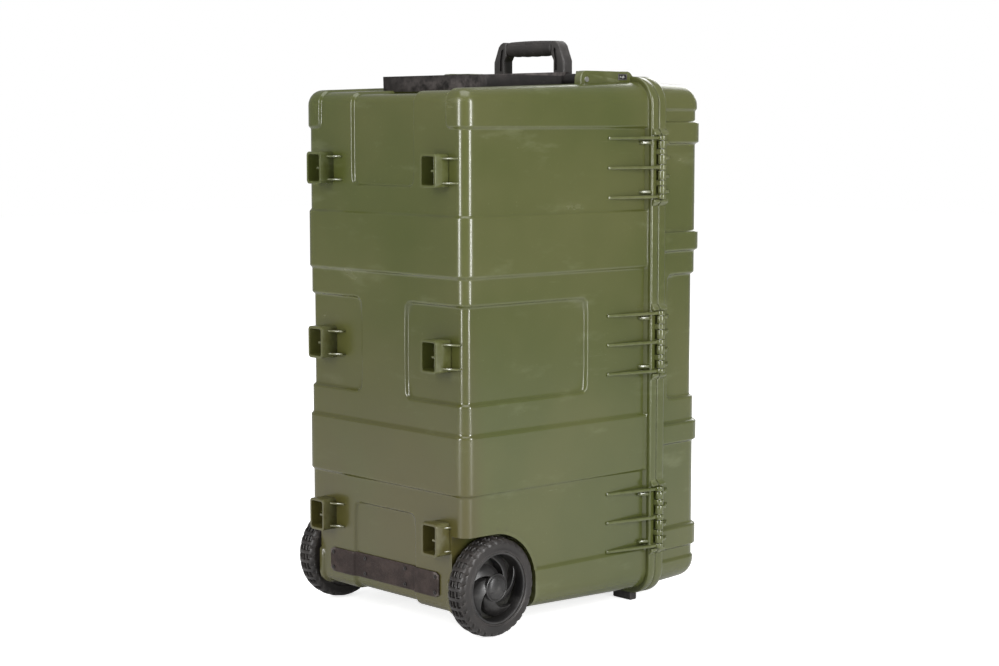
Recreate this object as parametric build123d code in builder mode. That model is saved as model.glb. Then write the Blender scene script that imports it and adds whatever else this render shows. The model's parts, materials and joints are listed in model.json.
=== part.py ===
from build123d import *
from math import cos, radians, sin, tan
import os

os.makedirs("parts", exist_ok=True)

# Wheeled hard case, standing on its short end, in millimetres.
# +Z is up along the case, -Y is the bottom of the base, +Y is the lid and +X is the hinge side.
# The origin is on the floor, under the middle of the whole case.

# ---------------------------------------------------------------- driving dimensions
mid_z = 427.0  # middle of the shells' height
bottom_y = -244.0  # outer face of the base's bottom
parting_y = bottom_y + 390.0  # plane where base and lid meet
lid_top_y = parting_y + 118.0  # outer face of the lid, between its bands
half_w = 185.6  # half of the base's width at its bottom
half_h = 389.5  # half of the base's height at its bottom
draft = 2.1  # draft of every moulded wall, degrees
wall = 5.0
corner_r = 20.0  # between a side wall and an end wall, at the base's bottom
edge_r = 18.0  # round of the edges of the base's bottom
lid_edge_r = 26.0  # round of the edges of the lid's top
base_flange_t = 15.0
lid_flange_t = 18.0
flange_out = 12.0  # how far the flanges stand out of the walls
lip_h = 3.5  # sealing lip of the base
groove_h = 7.5  # its groove in the lid

band_lift = 3.4  # base bands over the plain wall
cap_lift = 3.6  # corner caps over the plain wall
panel_in = 4.3  # panels and channels under the plain wall
tray_in = 8.0  # tray of the tow handle under the plain end wall
lid_band_lift = 6.0
lid_cap_lift = 2.8
lid_panel_in = 4.5
proud = 12.0  # any height over the plain wall that clears the relief
far = 1000.0  # any distance that clears the case

run = 0.05  # radial clearance of a running fit
side_reach = 225.0  # furthest that latches and hinges reach from the middle

wheel_r = 76.0
wheel_y = bottom_y + 57.6
wheel_z = wheel_r
wheel_in = 161.0  # inner and outer faces of a wheel, from the middle of the case
wheel_out = 199.0
well_r = 80.5
well_in = 157.0
axle_r = 6.0

hinge_x = 218.5  # axis of the lid's hinges, in the parting plane
knuckle_r = side_reach - hinge_x
hinge_pin_r = 2.5
hinge_pin_l = 98.0
hinge_zs = (142.0, 424.0, 700.0)
part_gap = 0.5  # gap between the lid's hinge parts and the base's

latch_zs = (137.0, 330.0, 524.0, 717.0)
lever_axis = (-216.3, parting_y + 7.0)
claw_axis = (lever_axis[0] - 4.0, lever_axis[1] + 6.0)
lever_pin_r = 2.0
claw_pin_r = 1.6
ear_dz = 24.6  # inner face of an ear, from the middle of its latch
ear_t = 4.0

padlock_zs = (85.0, 769.0)
padlock_x = side_reach - 11.0
padlock_r = 4.5

foot_x = 135.0
foot_zs = (152.0, 426.5, 700.0)
foot_h = 26.0

tow_axis_y = bottom_y + 276.0
tow_axis_z = 836.5
tow_half_w = 120.0
tow_bar = 20.0
tow_reach = 177.0  # from the axis to the crossbar's outer face
tow_t = 24.0
tow_pin_r = 4.0
bracket_in = 124.0
bracket_out = 163.0
cheek_in = 150.0  # inner face of the cheek that holds the pivot pin
barrel_r = 9.0  # of the tow handle's pivot, between its arm and the cheek
barrel_out = 146.0
button_y = bottom_y + 357.0
button_z = 841.0

grip_axis_y = bottom_y + 318.0
grip_axis_z = 835.5
grip_half_w = 81.0
grip_leg = 24.0
grip_depth = 20.0
grip_bar_z = 888.0
grip_pin_r = 3.0

strip_half_w = 130.0
strip_z = (59.0, 97.5)
strip_t = 3.0
channel_half_w = 72.0
screw_spots = [(x, z) for x in (-122.0, -48.0, 48.0, 122.0) for z in (66.0, 90.5)]
screw_r = 1.5
screw_bite = 4.0

# ---------------------------------------------------------------- worked-out dimensions
slope = tan(radians(draft))
flange_y = parting_y - base_flange_t
lid_face_y = parting_y + lid_flange_t
base_depth = flange_y - bottom_y
lid_depth = lid_top_y - lid_face_y
wall_w = half_w + slope * base_depth  # half sizes of the walls at the flanges
wall_h = half_h + slope * base_depth
wall_r = corner_r + slope * base_depth
lid_half_w = wall_w - slope * lid_depth
lid_half_h = wall_h - slope * lid_depth
lid_corner_r = wall_r - slope * lid_depth
flange_w = wall_w + flange_out
valve_y = bottom_y + 305.0
valve_x = half_w + slope * 305.0


# ---------------------------------------------------------------- shared shapes
def facing_lid(y):
    """Plane across the case at y, normal towards the lid, its own x along -X."""
    return Plane(origin=(0, y, mid_z), x_dir=(-1, 0, 0), z_dir=(0, 1, 0))


def facing_base(y):
    """Plane across the case at y, normal towards the base's bottom."""
    return Plane(origin=(0, y, mid_z), x_dir=(1, 0, 0), z_dir=(0, -1, 0))


def along_x(x, y, z):
    """Place for a cylinder whose axis runs along X."""
    return Location((x, y, z), (0, 90, 0))


def boxes(*zones):
    """Boxes, each given by its lowest and highest x, y and z."""
    with BuildPart() as group:
        for x0, x1, y0, y1, z0, z1 in zones:
            with Locations(((x0 + x1) / 2, (y0 + y1) / 2, (z0 + z1) / 2)):
                Box(x1 - x0, y1 - y0, z1 - z0)
    return group.part


def both_sides(*zones):
    """The zones with their mirror images on the other side of the case."""
    return [*zones, *[(-x1, -x0, *rest) for x0, x1, *rest in zones]]


def grown(zones):
    """The zones, each larger by a wall's thickness all round."""
    return [
        (x0 - wall, x1 + wall, y0 - wall, y1 + wall, z0 - wall, z1 + wall)
        for x0, x1, y0, y1, z0, z1 in zones
    ]


def base_block(lift, depth=base_depth):
    """Solid drafted block that stands lift outside the base's plain walls."""
    with BuildPart() as block:
        with BuildSketch(facing_lid(bottom_y - lift)):
            RectangleRounded(2 * (half_w + lift), 2 * (half_h + lift), corner_r + lift)
        extrude(amount=depth + lift, taper=-draft)
        fillet(block.faces().sort_by(Axis.Y)[0].edges(), edge_r + lift)
    return block.part


def lid_block(lift, depth=lid_depth):
    """Solid drafted block that stands lift outside the lid's plain walls."""
    with BuildPart() as block:
        with BuildSketch(facing_base(lid_top_y + lift)):
            RectangleRounded(
                2 * (lid_half_w + lift), 2 * (lid_half_h + lift), lid_corner_r + lift
            )
        extrude(amount=depth + lift, taper=-draft)
        fillet(block.faces().sort_by(Axis.Y)[-1].edges(), lid_edge_r + lift)
    return block.part


def within(block, *zones):
    """The part of a block inside some zones."""
    with BuildPart() as step:
        add(block)
        add(boxes(*zones), mode=Mode.INTERSECT)
    return step.part


def skin(outer, inner, *zones):
    """The layer between two blocks, inside some zones."""
    with BuildPart() as layer:
        add(outer)
        add(inner, mode=Mode.SUBTRACT)
        add(boxes(*zones), mode=Mode.INTERSECT)
    return layer.part


def rim(y, height, inner, outer):
    """A ring that follows the flange, between two distances outside the walls."""
    with BuildPart() as ring:
        with BuildSketch(facing_lid(y)):
            RectangleRounded(2 * (wall_w + outer), 2 * (wall_h + outer), wall_r + outer)
            RectangleRounded(
                2 * (wall_w + inner), 2 * (wall_h + inner), wall_r + inner, mode=Mode.SUBTRACT
            )
        extrude(amount=height)
    return ring.part


def knuckles(spans, neck_y):
    """Hinge knuckles on every hinge, with the necks that tie them to a flange."""
    neck_x = wall_w + 4
    neck_t = knuckle_r - part_gap
    with BuildPart() as row:
        for zc in hinge_zs:
            for z0, z1 in spans:
                with BuildSketch(Plane.XY.offset(zc + z0)):
                    with Locations((hinge_x, parting_y)):
                        Circle(knuckle_r)
                    with Locations(((neck_x + hinge_x) / 2, neck_y)):
                        Rectangle(hinge_x - neck_x, neck_t)
                extrude(amount=z1 - z0)
    return row.part


def flange_bulges(y0, y1):
    """Wedges that lead a flange out to each hinge, above and below it."""
    root_x, top_x = flange_w - 1, hinge_x - 1.5
    with BuildPart() as wedges:
        for zc in hinge_zs:
            for end in (-1, 1):
                with BuildSketch(facing_base(y1)):
                    with BuildLine():
                        Polyline(
                            (root_x, zc - mid_z + end * 50.5),
                            (top_x, zc - mid_z + end * 50.5),
                            (top_x, zc - mid_z + end * 54),
                            (root_x, zc - mid_z + end * 62),
                            close=True,
                        )
                    make_face()
                extrude(amount=y1 - y0)
    return wedges.part


def hinge_ribs(heights, rib_t, foot_point, flange_point, knuckle_y):
    """Tapered ribs from a side wall to the knuckles, at some heights on each hinge."""
    with BuildPart() as ribs:
        for zc in hinge_zs:
            for dz in heights:
                with BuildSketch(Plane.XY.offset(zc + dz - rib_t / 2)):
                    with BuildLine():
                        Polyline(
                            (foot_point[0] - 5, foot_point[1]),
                            foot_point,
                            flange_point,
                            (hinge_x, knuckle_y),
                            (wall_w, knuckle_y),
                            (wall_w - 2, flange_point[1]),
                            close=True,
                        )
                    make_face()
                extrude(amount=rib_t)
    return ribs.part


def padlock_lugs(y0, y1):
    """Two lugs on a flange, on the latch side."""
    with BuildPart() as lugs:
        for z in padlock_zs:
            with BuildSketch(facing_lid(y0)):
                with Locations(((wall_w + side_reach - 1) / 2, z - mid_z)):
                    RectangleRounded(side_reach - 1 - wall_w, 24, 5)
            extrude(amount=y1 - y0)
    return lugs.part


def padlock_holes():
    """Holes for a padlock's shackle, through the lugs of both flanges."""
    with BuildPart() as holes:
        for z in padlock_zs:
            with BuildSketch(facing_lid(flange_y - 1)):
                with Locations((padlock_x, z - mid_z)):
                    Circle(padlock_r)
            extrude(amount=lid_face_y - flange_y + 2)
    return holes.part


def save(piece, name):
    piece.label = name
    export_step(piece, f"parts/{name}.step")


# ---------------------------------------------------------------- base shell
band_zones = [
    (-far, far, -far, flange_y, 218.7, 308.4),
    (-far, far, -far, flange_y, 542.7, 632.7),
]
cap_zones = both_sides(
    (148.0, far, -far, flange_y, 762.4, far),
    (148.0, far, -far, flange_y, -far, 91.8),
)
relief_zones = [
    *both_sides((53.0, far, -far, bottom_y + 247.0, 354.8, 500.8)),
    (-channel_half_w, channel_half_w, -far, flange_y - wall, 675.0, far),
    (-channel_half_w, channel_half_w, -far, flange_y - wall, -far, 178.0),
]
tray_zones = [(-126.0, 126.0, bottom_y + 88.0, flange_y - wall, 700.0, far)]


def wheel_well(grow):
    """Space of each wheel: an arch over it, open downwards and to the base's bottom."""
    top = wheel_z + well_r + grow
    back = wheel_y + well_r + grow
    front = bottom_y - foot_h
    low = -wheel_r
    with BuildPart() as well:
        with BuildSketch(Plane.YZ.offset(well_in - grow)):
            with Locations((wheel_y, wheel_z)):
                Circle(well_r + grow)
            with Locations(((front + wheel_y) / 2, (low + top) / 2)):
                Rectangle(wheel_y - front, top - low)
            with Locations(((front + back) / 2, (low + wheel_z) / 2)):
                Rectangle(back - front, wheel_z - low)
        extrude(amount=side_reach - well_in + grow)
        mirror(about=Plane.YZ)
    return well.part


def foot(x, z):
    """Hollow rectangular foot with an inner rib, and gussets where the wall goes on."""
    root = bottom_y + panel_in + 0.4
    width, length, thick = 35.0, 50.0, 3.0
    gusset_reach, gusset_h, gusset_t = 24.0, 14.0, 3.0
    with BuildPart() as tube:
        with BuildSketch(Plane(origin=(x, root, z), x_dir=(1, 0, 0), z_dir=(0, -1, 0))):
            RectangleRounded(width, length, 6)
            RectangleRounded(width - 2 * thick, length - 2 * thick, 3, mode=Mode.SUBTRACT)
            with Locations((width / 2 - thick - 4, 0)):
                Rectangle(10, thick)
        extrude(amount=root - bottom_y + foot_h)
        for side in (-1, 1):
            near = x + side * (width / 2 - 1)
            out = x + side * (width / 2 + gusset_reach)
            for dz in (-18.0, 18.0):
                if side * x > 0 and z + dz < wheel_z + well_r:
                    continue
                with BuildSketch(Plane.XY.offset(z + dz - gusset_t / 2)):
                    with BuildLine():
                        Polyline(
                            (near, root),
                            (out, root),
                            (out, bottom_y - 2),
                            (near, bottom_y - gusset_h),
                            close=True,
                        )
                    make_face()
                extrude(amount=gusset_t)
    return tube.part


def tow_brackets():
    """Blocks of the tow handle: outer cheeks, inner lugs, pin bores and button pockets."""
    front = tow_axis_y - 13
    top = 850.0
    with BuildPart() as brackets:
        with BuildSketch(Plane.YZ.offset(bracket_in)):
            with BuildLine():
                Polyline(
                    (front, 819),
                    (front, top - 12),
                    (front + 12, top),
                    (flange_y - 3, top),
                    (flange_y + 8, 841),
                    (flange_y + 8, 828),
                    (flange_y - wall, 823),
                    close=True,
                )
            make_face()
        extrude(amount=bracket_out - bracket_in)
        with Locations(((bracket_in + cheek_in) / 2, tow_axis_y + 1, 831.5)):
            Box(cheek_in - bracket_in, 30, 39, mode=Mode.SUBTRACT)
        lug_t, lug_root = 7.0, 816.0
        with BuildSketch(Plane.YZ.offset(tow_half_w - tow_bar - lug_t - 2)):
            with Locations((tow_axis_y, tow_axis_z)):
                Circle(12)
            with Locations((tow_axis_y, (tow_axis_z + lug_root) / 2)):
                Rectangle(24, tow_axis_z - lug_root)
        extrude(amount=lug_t)
        with Locations(along_x(0, tow_axis_y, tow_axis_z)):
            Cylinder(tow_pin_r, 2 * side_reach, mode=Mode.SUBTRACT)
        with Locations((bracket_out - 12, button_y, button_z)):
            Box(24.2, 20, 9.6, mode=Mode.SUBTRACT)
        mirror(about=Plane.YZ)
    return brackets.part


def grip_lugs():
    """Lugs on both sides of each leg of the carry handle."""
    lug_t, lug_gap, lug_root = 7.0, 1.0, 817.5
    with BuildPart() as lugs:
        for x in (grip_half_w - grip_leg - lug_gap - lug_t, grip_half_w + lug_gap):
            with BuildSketch(Plane.YZ.offset(x)):
                with Locations((grip_axis_y, grip_axis_z)):
                    Circle(9)
                with Locations((grip_axis_y, (grip_axis_z + lug_root) / 2)):
                    Rectangle(18, grip_axis_z - lug_root)
            extrude(amount=lug_t)
        with Locations(along_x(0, grip_axis_y, grip_axis_z)):
            Cylinder(grip_pin_r, 2 * side_reach, mode=Mode.SUBTRACT)
        mirror(about=Plane.YZ)
    return lugs.part


def strip_floor(x):
    """Face of the base's bottom under the rub strip, which dips in the channel."""
    return bottom_y + (panel_in if abs(x) < channel_half_w else 0)


plain_block = base_block(0)
proud_block = base_block(proud)
with BuildPart() as base_outside:
    add(plain_block)
    add(within(base_block(band_lift), *band_zones))
    add(within(base_block(cap_lift), *cap_zones))
    add(skin(proud_block, base_block(-panel_in), *relief_zones), mode=Mode.SUBTRACT)
    add(skin(proud_block, base_block(-tray_in), *tray_zones), mode=Mode.SUBTRACT)
    add(rim(flange_y, base_flange_t, -wall, flange_out))
    add(wheel_well(0), mode=Mode.SUBTRACT)

panel_pads = skin(plain_block, base_block(-panel_in - wall), *grown(relief_zones))
tray_pad = skin(plain_block, base_block(-tray_in - wall), *grown(tray_zones))
with BuildPart() as base_cavity:
    add(base_block(-wall, parting_y - bottom_y + 1))
    add(panel_pads, mode=Mode.SUBTRACT)
    add(tray_pad, mode=Mode.SUBTRACT)
    add(wheel_well(wall), mode=Mode.SUBTRACT)

with BuildPart() as axle_bosses:
    with Locations(along_x(well_in - 14, wheel_y, wheel_z)):
        Cylinder(15, 26)
    with Locations(along_x(well_in + 1, wheel_y, wheel_z)):
        Cylinder(11, 5)
    mirror(about=Plane.YZ)

with BuildPart() as base_shell:
    add(base_outside.part)
    add(base_cavity.part, mode=Mode.SUBTRACT)
    add(rim(parting_y, lip_h, 2.5, 5.5))
    for x in (-foot_x, foot_x):
        for z in foot_zs:
            add(foot(x, z))
    add(axle_bosses.part)
    add(
        hinge_ribs(
            heights=(-46.0, 0.0, 46.0),
            rib_t=5.0,
            foot_point=(half_w + slope * 290 + 2, bottom_y + 290),
            flange_point=(hinge_x - 2, flange_y),
            knuckle_y=parting_y - knuckle_r + 1,
        )
    )
    base_spans = [(-49.5, -42.5), (-28.5, -20.5), (-4.0, 4.0), (20.5, 28.5), (42.5, 49.5)]
    add(knuckles(base_spans, parting_y - (knuckle_r + part_gap) / 2))
    add(flange_bulges(flange_y, parting_y - part_gap))
    add(tow_brackets())
    add(grip_lugs())
    add(padlock_lugs(flange_y, parting_y - part_gap))
    add(padlock_holes(), mode=Mode.SUBTRACT)
    with Locations(along_x(0, wheel_y, wheel_z)):
        Cylinder(axle_r, 2 * side_reach, mode=Mode.SUBTRACT)
    for z in hinge_zs:
        with Locations((hinge_x, parting_y, z)):
            Cylinder(hinge_pin_r, hinge_pin_l + 6, mode=Mode.SUBTRACT)
    with Locations(along_x(-valve_x, valve_y, mid_z)):
        Cylinder(8, 30, mode=Mode.SUBTRACT)
    for x, z in screw_spots:
        with Locations(Location((x, strip_floor(x) + screw_bite / 2, z), (90, 0, 0))):
            Cylinder(screw_r, screw_bite, mode=Mode.SUBTRACT)
save(base_shell.part, "base_shell")

# ---------------------------------------------------------------- lid shell and its gasket
lid_band_zones = [
    (-far, far, lid_face_y, far, z0, z1)
    for z0, z1 in ((737.0, 771.0), (565.0, 596.0), (254.0, 287.0), (81.0, 116.0))
]
lid_cap_zones = [
    (-far, far, lid_face_y, far, 790.0, far),
    (-far, far, lid_face_y, far, -far, 62.0),
]
lid_panel_zones = both_sides((60.0, far, lid_face_y + 20, far, 326.5, 527.0))


def latch_ears():
    """Pairs of ears on the lid's flange that hold the latch levers."""
    with BuildPart() as ears:
        for zc in latch_zs:
            for dz in (-ear_dz - ear_t, ear_dz):
                with BuildSketch(Plane.XY.offset(zc + dz)) as outline:
                    with Locations(lever_axis):
                        Circle(4.5)
                    with Locations((3 - flange_w, lever_axis[1])):
                        Rectangle(1, 12)
                    make_hull(outline.edges())
                    with Locations(lever_axis):
                        Circle(lever_pin_r, mode=Mode.SUBTRACT)
                extrude(amount=ear_t)
    return ears.part


lid_pads = skin(lid_block(0), lid_block(-lid_panel_in - wall), *grown(lid_panel_zones))
with BuildPart() as lid_cavity:
    add(lid_block(-wall, lid_top_y - parting_y + 1))
    add(lid_pads, mode=Mode.SUBTRACT)

with BuildPart() as lid_shell:
    add(lid_block(0))
    add(within(lid_block(lid_band_lift), *lid_band_zones))
    add(within(lid_block(lid_cap_lift), *lid_cap_zones))
    add(skin(lid_block(proud), lid_block(-lid_panel_in), *lid_panel_zones), mode=Mode.SUBTRACT)
    add(rim(parting_y, lid_flange_t, -wall, flange_out))
    add(lid_cavity.part, mode=Mode.SUBTRACT)
    add(
        hinge_ribs(
            heights=(-38.5, -14.5, 14.5, 38.5),
            rib_t=5.0,
            foot_point=(wall_w - slope * 20 + 3, lid_face_y + 20),
            flange_point=(hinge_x - 3, lid_face_y),
            knuckle_y=parting_y + knuckle_r - 1,
        )
    )
    lid_spans = [(-41.5, -29.5), (-19.5, -5.0), (5.0, 19.5), (29.5, 41.5)]
    add(knuckles(lid_spans, parting_y + (knuckle_r + part_gap) / 2))
    add(flange_bulges(parting_y + part_gap, lid_face_y))
    add(latch_ears())
    add(padlock_lugs(parting_y + part_gap, lid_face_y))
    add(padlock_holes(), mode=Mode.SUBTRACT)
    add(rim(parting_y, groove_h, 1.5, 6.5), mode=Mode.SUBTRACT)
    for z in hinge_zs:
        with Locations((hinge_x, parting_y, z)):
            Cylinder(hinge_pin_r + run, hinge_pin_l + 6, mode=Mode.SUBTRACT)
save(lid_shell.part, "lid_shell")

gasket_t = groove_h - lip_h - 0.5
save(rim(parting_y + groove_h - gasket_t, gasket_t, 1.7, 6.3), "lid_gasket")

# ---------------------------------------------------------------- hinge pins
with BuildPart() as hinge_pins:
    for z in hinge_zs:
        with Locations((hinge_x, parting_y, z)):
            Cylinder(hinge_pin_r, hinge_pin_l)
save(hinge_pins.part, "hinge_pins")

# ---------------------------------------------------------------- latches
lever_half = ear_dz - 0.6
cheek_t = 4.0
lever_end_y = lever_axis[1] + 50.0
plate_y = claw_axis[1] + 4.5  # the lever's plate starts beyond the claw's barrel
claw_w = 38.0


def latch_lever(zc):
    """Lever of a draw latch: a finger plate on two cheeks that turn on the lid's ears."""
    face_x = -side_reach
    plate_t = 3.0
    with BuildPart() as lever:
        with BuildSketch(Plane.XY.offset(zc - lever_half)):
            with BuildLine():
                Polyline(
                    (face_x, plate_y),
                    (face_x, lever_end_y - 5),
                    (face_x + 4, lever_end_y),
                    (face_x + 7, lever_end_y),
                    (face_x + plate_t, lever_end_y - 6),
                    (face_x + plate_t, plate_y),
                    close=True,
                )
            make_face()
        extrude(amount=2 * lever_half)
        for z0 in (-lever_half, lever_half - cheek_t):
            with BuildSketch(Plane.XY.offset(zc + z0)) as outline:
                with Locations(lever_axis):
                    Circle(4)
                with Locations(claw_axis):
                    Circle(3.3)
                with Locations((face_x + plate_t / 2, plate_y + 9)):
                    Rectangle(plate_t, 18)
                make_hull(outline.edges())
                with Locations(lever_axis):
                    Circle(lever_pin_r + run, mode=Mode.SUBTRACT)
                with Locations(claw_axis):
                    Circle(claw_pin_r, mode=Mode.SUBTRACT)
            extrude(amount=cheek_t)
    return lever.part


def latch_claw(zc):
    """Claw of a draw latch: a barrel on the lever, a plate and a hook under the base's flange."""
    hook_y = flange_y - 0.4
    outer_x = claw_axis[0] - 1.5
    tip_x = 5 - flange_w
    with BuildPart() as claw:
        with BuildSketch(Plane.XY.offset(zc - claw_w / 2)):
            with BuildLine():
                Polyline(
                    (outer_x, claw_axis[1]),
                    (outer_x, hook_y - 3),
                    (outer_x + 1.5, hook_y - 4.5),
                    (tip_x, hook_y - 3.5),
                    (tip_x, hook_y),
                    (outer_x + 3, hook_y),
                    (outer_x + 3, claw_axis[1]),
                    close=True,
                )
            make_face()
            with Locations(claw_axis):
                Circle(3.2)
                Circle(claw_pin_r + run, mode=Mode.SUBTRACT)
        extrude(amount=claw_w)
    return claw.part


for number, z in enumerate(latch_zs, start=1):
    save(latch_lever(z), f"latch_lever_{number}")
    save(latch_claw(z), f"latch_claw_{number}")
    with BuildPart() as claw_pin:
        with Locations((*claw_axis, z)):
            Cylinder(claw_pin_r, 2 * lever_half)
    save(claw_pin.part, f"latch_claw_pin_{number}")

with BuildPart() as lever_pins:
    for z in latch_zs:
        with Locations((*lever_axis, z)):
            Cylinder(lever_pin_r, 2 * (ear_dz + ear_t))
save(lever_pins.part, "latch_lever_pins")

# ---------------------------------------------------------------- wheels, on stub axles
hub_in = wheel_in + 0.3
hub_out = 188.0
axle_end = 191.0
rim_r = 58.0
bush_r = 9.0
wheel_plane = Plane(origin=(0, wheel_y, wheel_z), x_dir=(1, 0, 0), z_dir=(0, -1, 0))
wheel_axis = Axis((0, wheel_y, wheel_z), (1, 0, 0))

with BuildPart() as wheel_tyre:
    with BuildSketch(wheel_plane):
        with BuildLine():
            Polyline(
                (wheel_in, rim_r),
                (wheel_out, rim_r),
                (wheel_out, wheel_r - 8),
                (wheel_out - 7, wheel_r),
                (wheel_in + 7, wheel_r),
                (wheel_in, wheel_r - 8),
                close=True,
            )
        make_face()
    revolve(axis=wheel_axis)

with BuildPart() as wheel_hub:
    with BuildSketch(wheel_plane):
        with BuildLine():
            Polyline(
                (hub_in, bush_r),
                (hub_out, bush_r),
                (hub_out, 21),
                (hub_out - 8, 21),
                (178, 30),
                (178, 51),
                (wheel_out - 2, 55),
                (wheel_out - 2, rim_r),
                (wheel_in + 2, rim_r),
                (wheel_in + 2, 53),
                (172, 51),
                (172, 16),
                (hub_in, 16),
                close=True,
            )
        make_face()
    revolve(axis=wheel_axis)
    with BuildSketch(Plane.YZ.offset(wheel_in + 4)):
        with Locations((wheel_y, wheel_z)):
            with PolarLocations(39, 5):
                SlotOverall(26, 15, rotation=90)
    extrude(amount=wheel_out - wheel_in - 8, mode=Mode.SUBTRACT)

with BuildPart() as wheel_bush:
    with BuildSketch(Plane.YZ.offset(hub_in)):
        with Locations((wheel_y, wheel_z)):
            Circle(bush_r)
            Circle(axle_r + run, mode=Mode.SUBTRACT)
    extrude(amount=hub_out - hub_in)

with BuildPart() as hub_cap:
    with Locations(along_x((hub_out + wheel_out) / 2, wheel_y, wheel_z)):
        Cylinder(22, wheel_out - hub_out)
    fillet(hub_cap.faces().sort_by(Axis.X)[-1].edges(), 8)
    with Locations(along_x(hub_out + 3, wheel_y, wheel_z)):
        Cylinder(12, 6, mode=Mode.SUBTRACT)

with BuildPart() as stub_axle:
    shank_in = well_in - 27
    with Locations(along_x((shank_in + axle_end) / 2, wheel_y, wheel_z)):
        Cylinder(axle_r, axle_end - shank_in)
    with Locations(along_x(shank_in - 3, wheel_y, wheel_z)):
        Cylinder(10, 6)

with BuildPart() as axle_clip:
    with BuildSketch(Plane.YZ.offset(hub_out + 0.5)):
        with Locations((wheel_y, wheel_z)):
            Circle(10.5)
            Circle(axle_r, mode=Mode.SUBTRACT)
    extrude(amount=1.5)

wheel_pieces = {
    "wheel_tyre": wheel_tyre,
    "wheel_hub": wheel_hub,
    "wheel_bush": wheel_bush,
    "hub_cap": hub_cap,
    "stub_axle": stub_axle,
    "axle_clip": axle_clip,
}
for name, piece in wheel_pieces.items():
    save(piece.part, f"{name}_right")
    save(mirror(piece.part, about=Plane.YZ), f"{name}_left")

# ---------------------------------------------------------------- tow handle
lean = radians(draft)
tow_plane = Plane(
    origin=(0, tow_axis_y, tow_axis_z), x_dir=(1, 0, 0), z_dir=(0, -sin(lean), cos(lean))
)
with BuildPart() as tow_handle:
    with BuildSketch(tow_plane.offset(-tow_t / 2)):
        with BuildLine():
            Polyline(
                (-tow_half_w, 0),
                (-tow_half_w, -tow_reach + 9),
                (-tow_half_w + 9, -tow_reach),
                (tow_half_w - 9, -tow_reach),
                (tow_half_w, -tow_reach + 9),
                (tow_half_w, 0),
                (tow_half_w - tow_bar, 0),
                (tow_half_w - tow_bar, -tow_reach + tow_bar + 2),
                (-tow_half_w + tow_bar, -tow_reach + tow_bar + 2),
                (-tow_half_w + tow_bar, 0),
                close=True,
            )
        make_face()
    extrude(amount=tow_t)
    for side in (-1, 1):
        with Locations(along_x(side * (tow_half_w - tow_bar / 2), tow_axis_y, tow_axis_z)):
            Cylinder(tow_t / 2, tow_bar)
        middle = (tow_half_w - 1 + barrel_out) / 2
        with Locations(along_x(side * middle, tow_axis_y, tow_axis_z)):
            Cylinder(barrel_r, barrel_out - tow_half_w + 1)
    with Locations(along_x(0, tow_axis_y, tow_axis_z)):
        Cylinder(tow_pin_r + run, 2 * side_reach, mode=Mode.SUBTRACT)
save(tow_handle.part, "tow_handle")

with BuildPart() as tow_pins:
    pin_in, pin_out = tow_half_w - tow_bar - 9, bracket_out + 1.5
    with Locations(along_x((pin_in + pin_out) / 2, tow_axis_y, tow_axis_z)):
        Cylinder(tow_pin_r, pin_out - pin_in)
    mirror(about=Plane.YZ)
save(tow_pins.part, "tow_pivot_pins")

with BuildPart() as release_bezels:
    with BuildSketch(Plane.YZ.offset(bracket_out - 12)):
        with Locations((button_y, button_z)):
            Rectangle(20, 9.6)
            Rectangle(14, 5.4, mode=Mode.SUBTRACT)
    extrude(amount=12.4)
    mirror(about=Plane.YZ)
save(release_bezels.part, "release_bezels")

with BuildPart() as release_button:
    with Locations((bracket_out - 10, button_y, button_z)):
        Box(17, 13.6, 5.0)
save(release_button.part, "release_button_right")
save(mirror(release_button.part, about=Plane.YZ), "release_button_left")

# ---------------------------------------------------------------- carry handle
grip_in = grip_half_w - grip_leg
with BuildPart() as carry_handle:
    plane = Plane(
        origin=(0, grip_axis_y + grip_depth / 2, 0), x_dir=(1, 0, 0), z_dir=(0, -1, 0)
    )
    with BuildSketch(plane):
        with BuildLine():
            Polyline(
                (grip_in, grip_axis_z),
                (grip_half_w, grip_axis_z),
                (grip_half_w, 867),
                (70, 893),
                (61, 900),
                (52, 900),
                (52, 877),
                (grip_in, 869),
                close=True,
            )
        make_face()
    extrude(amount=grip_depth)
    with Locations(along_x(grip_half_w - grip_leg / 2, grip_axis_y, grip_axis_z)):
        Cylinder(grip_depth / 2, grip_leg)
    mirror(about=Plane.YZ)
    with Locations(along_x(0, grip_axis_y, grip_bar_z)):
        Cylinder(8, 106)
    with Locations(along_x(0, grip_axis_y, grip_axis_z)):
        Cylinder(grip_pin_r + run, 2 * side_reach, mode=Mode.SUBTRACT)
save(carry_handle.part, "carry_handle")

with BuildPart() as carry_grip:
    plane = Plane(origin=(0, grip_axis_y, grip_bar_z), x_dir=(1, 0, 0), z_dir=(0, -1, 0))
    with BuildSketch(plane):
        with BuildLine():
            Polyline((51.8, 11.5), (51.8, 8), (-51.8, 8), (-51.8, 11.5))
            ThreePointArc((-51.8, 11.5), (0, 13), (51.8, 11.5))
        make_face()
    revolve(axis=Axis((0, grip_axis_y, grip_bar_z), (1, 0, 0)))
save(carry_grip.part, "carry_grip")

with BuildPart() as carry_pins:
    with Locations(along_x(grip_half_w - grip_leg / 2, grip_axis_y, grip_axis_z)):
        Cylinder(grip_pin_r, grip_leg + 16)
    mirror(about=Plane.YZ)
save(carry_pins.part, "carry_handle_pins")

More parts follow.
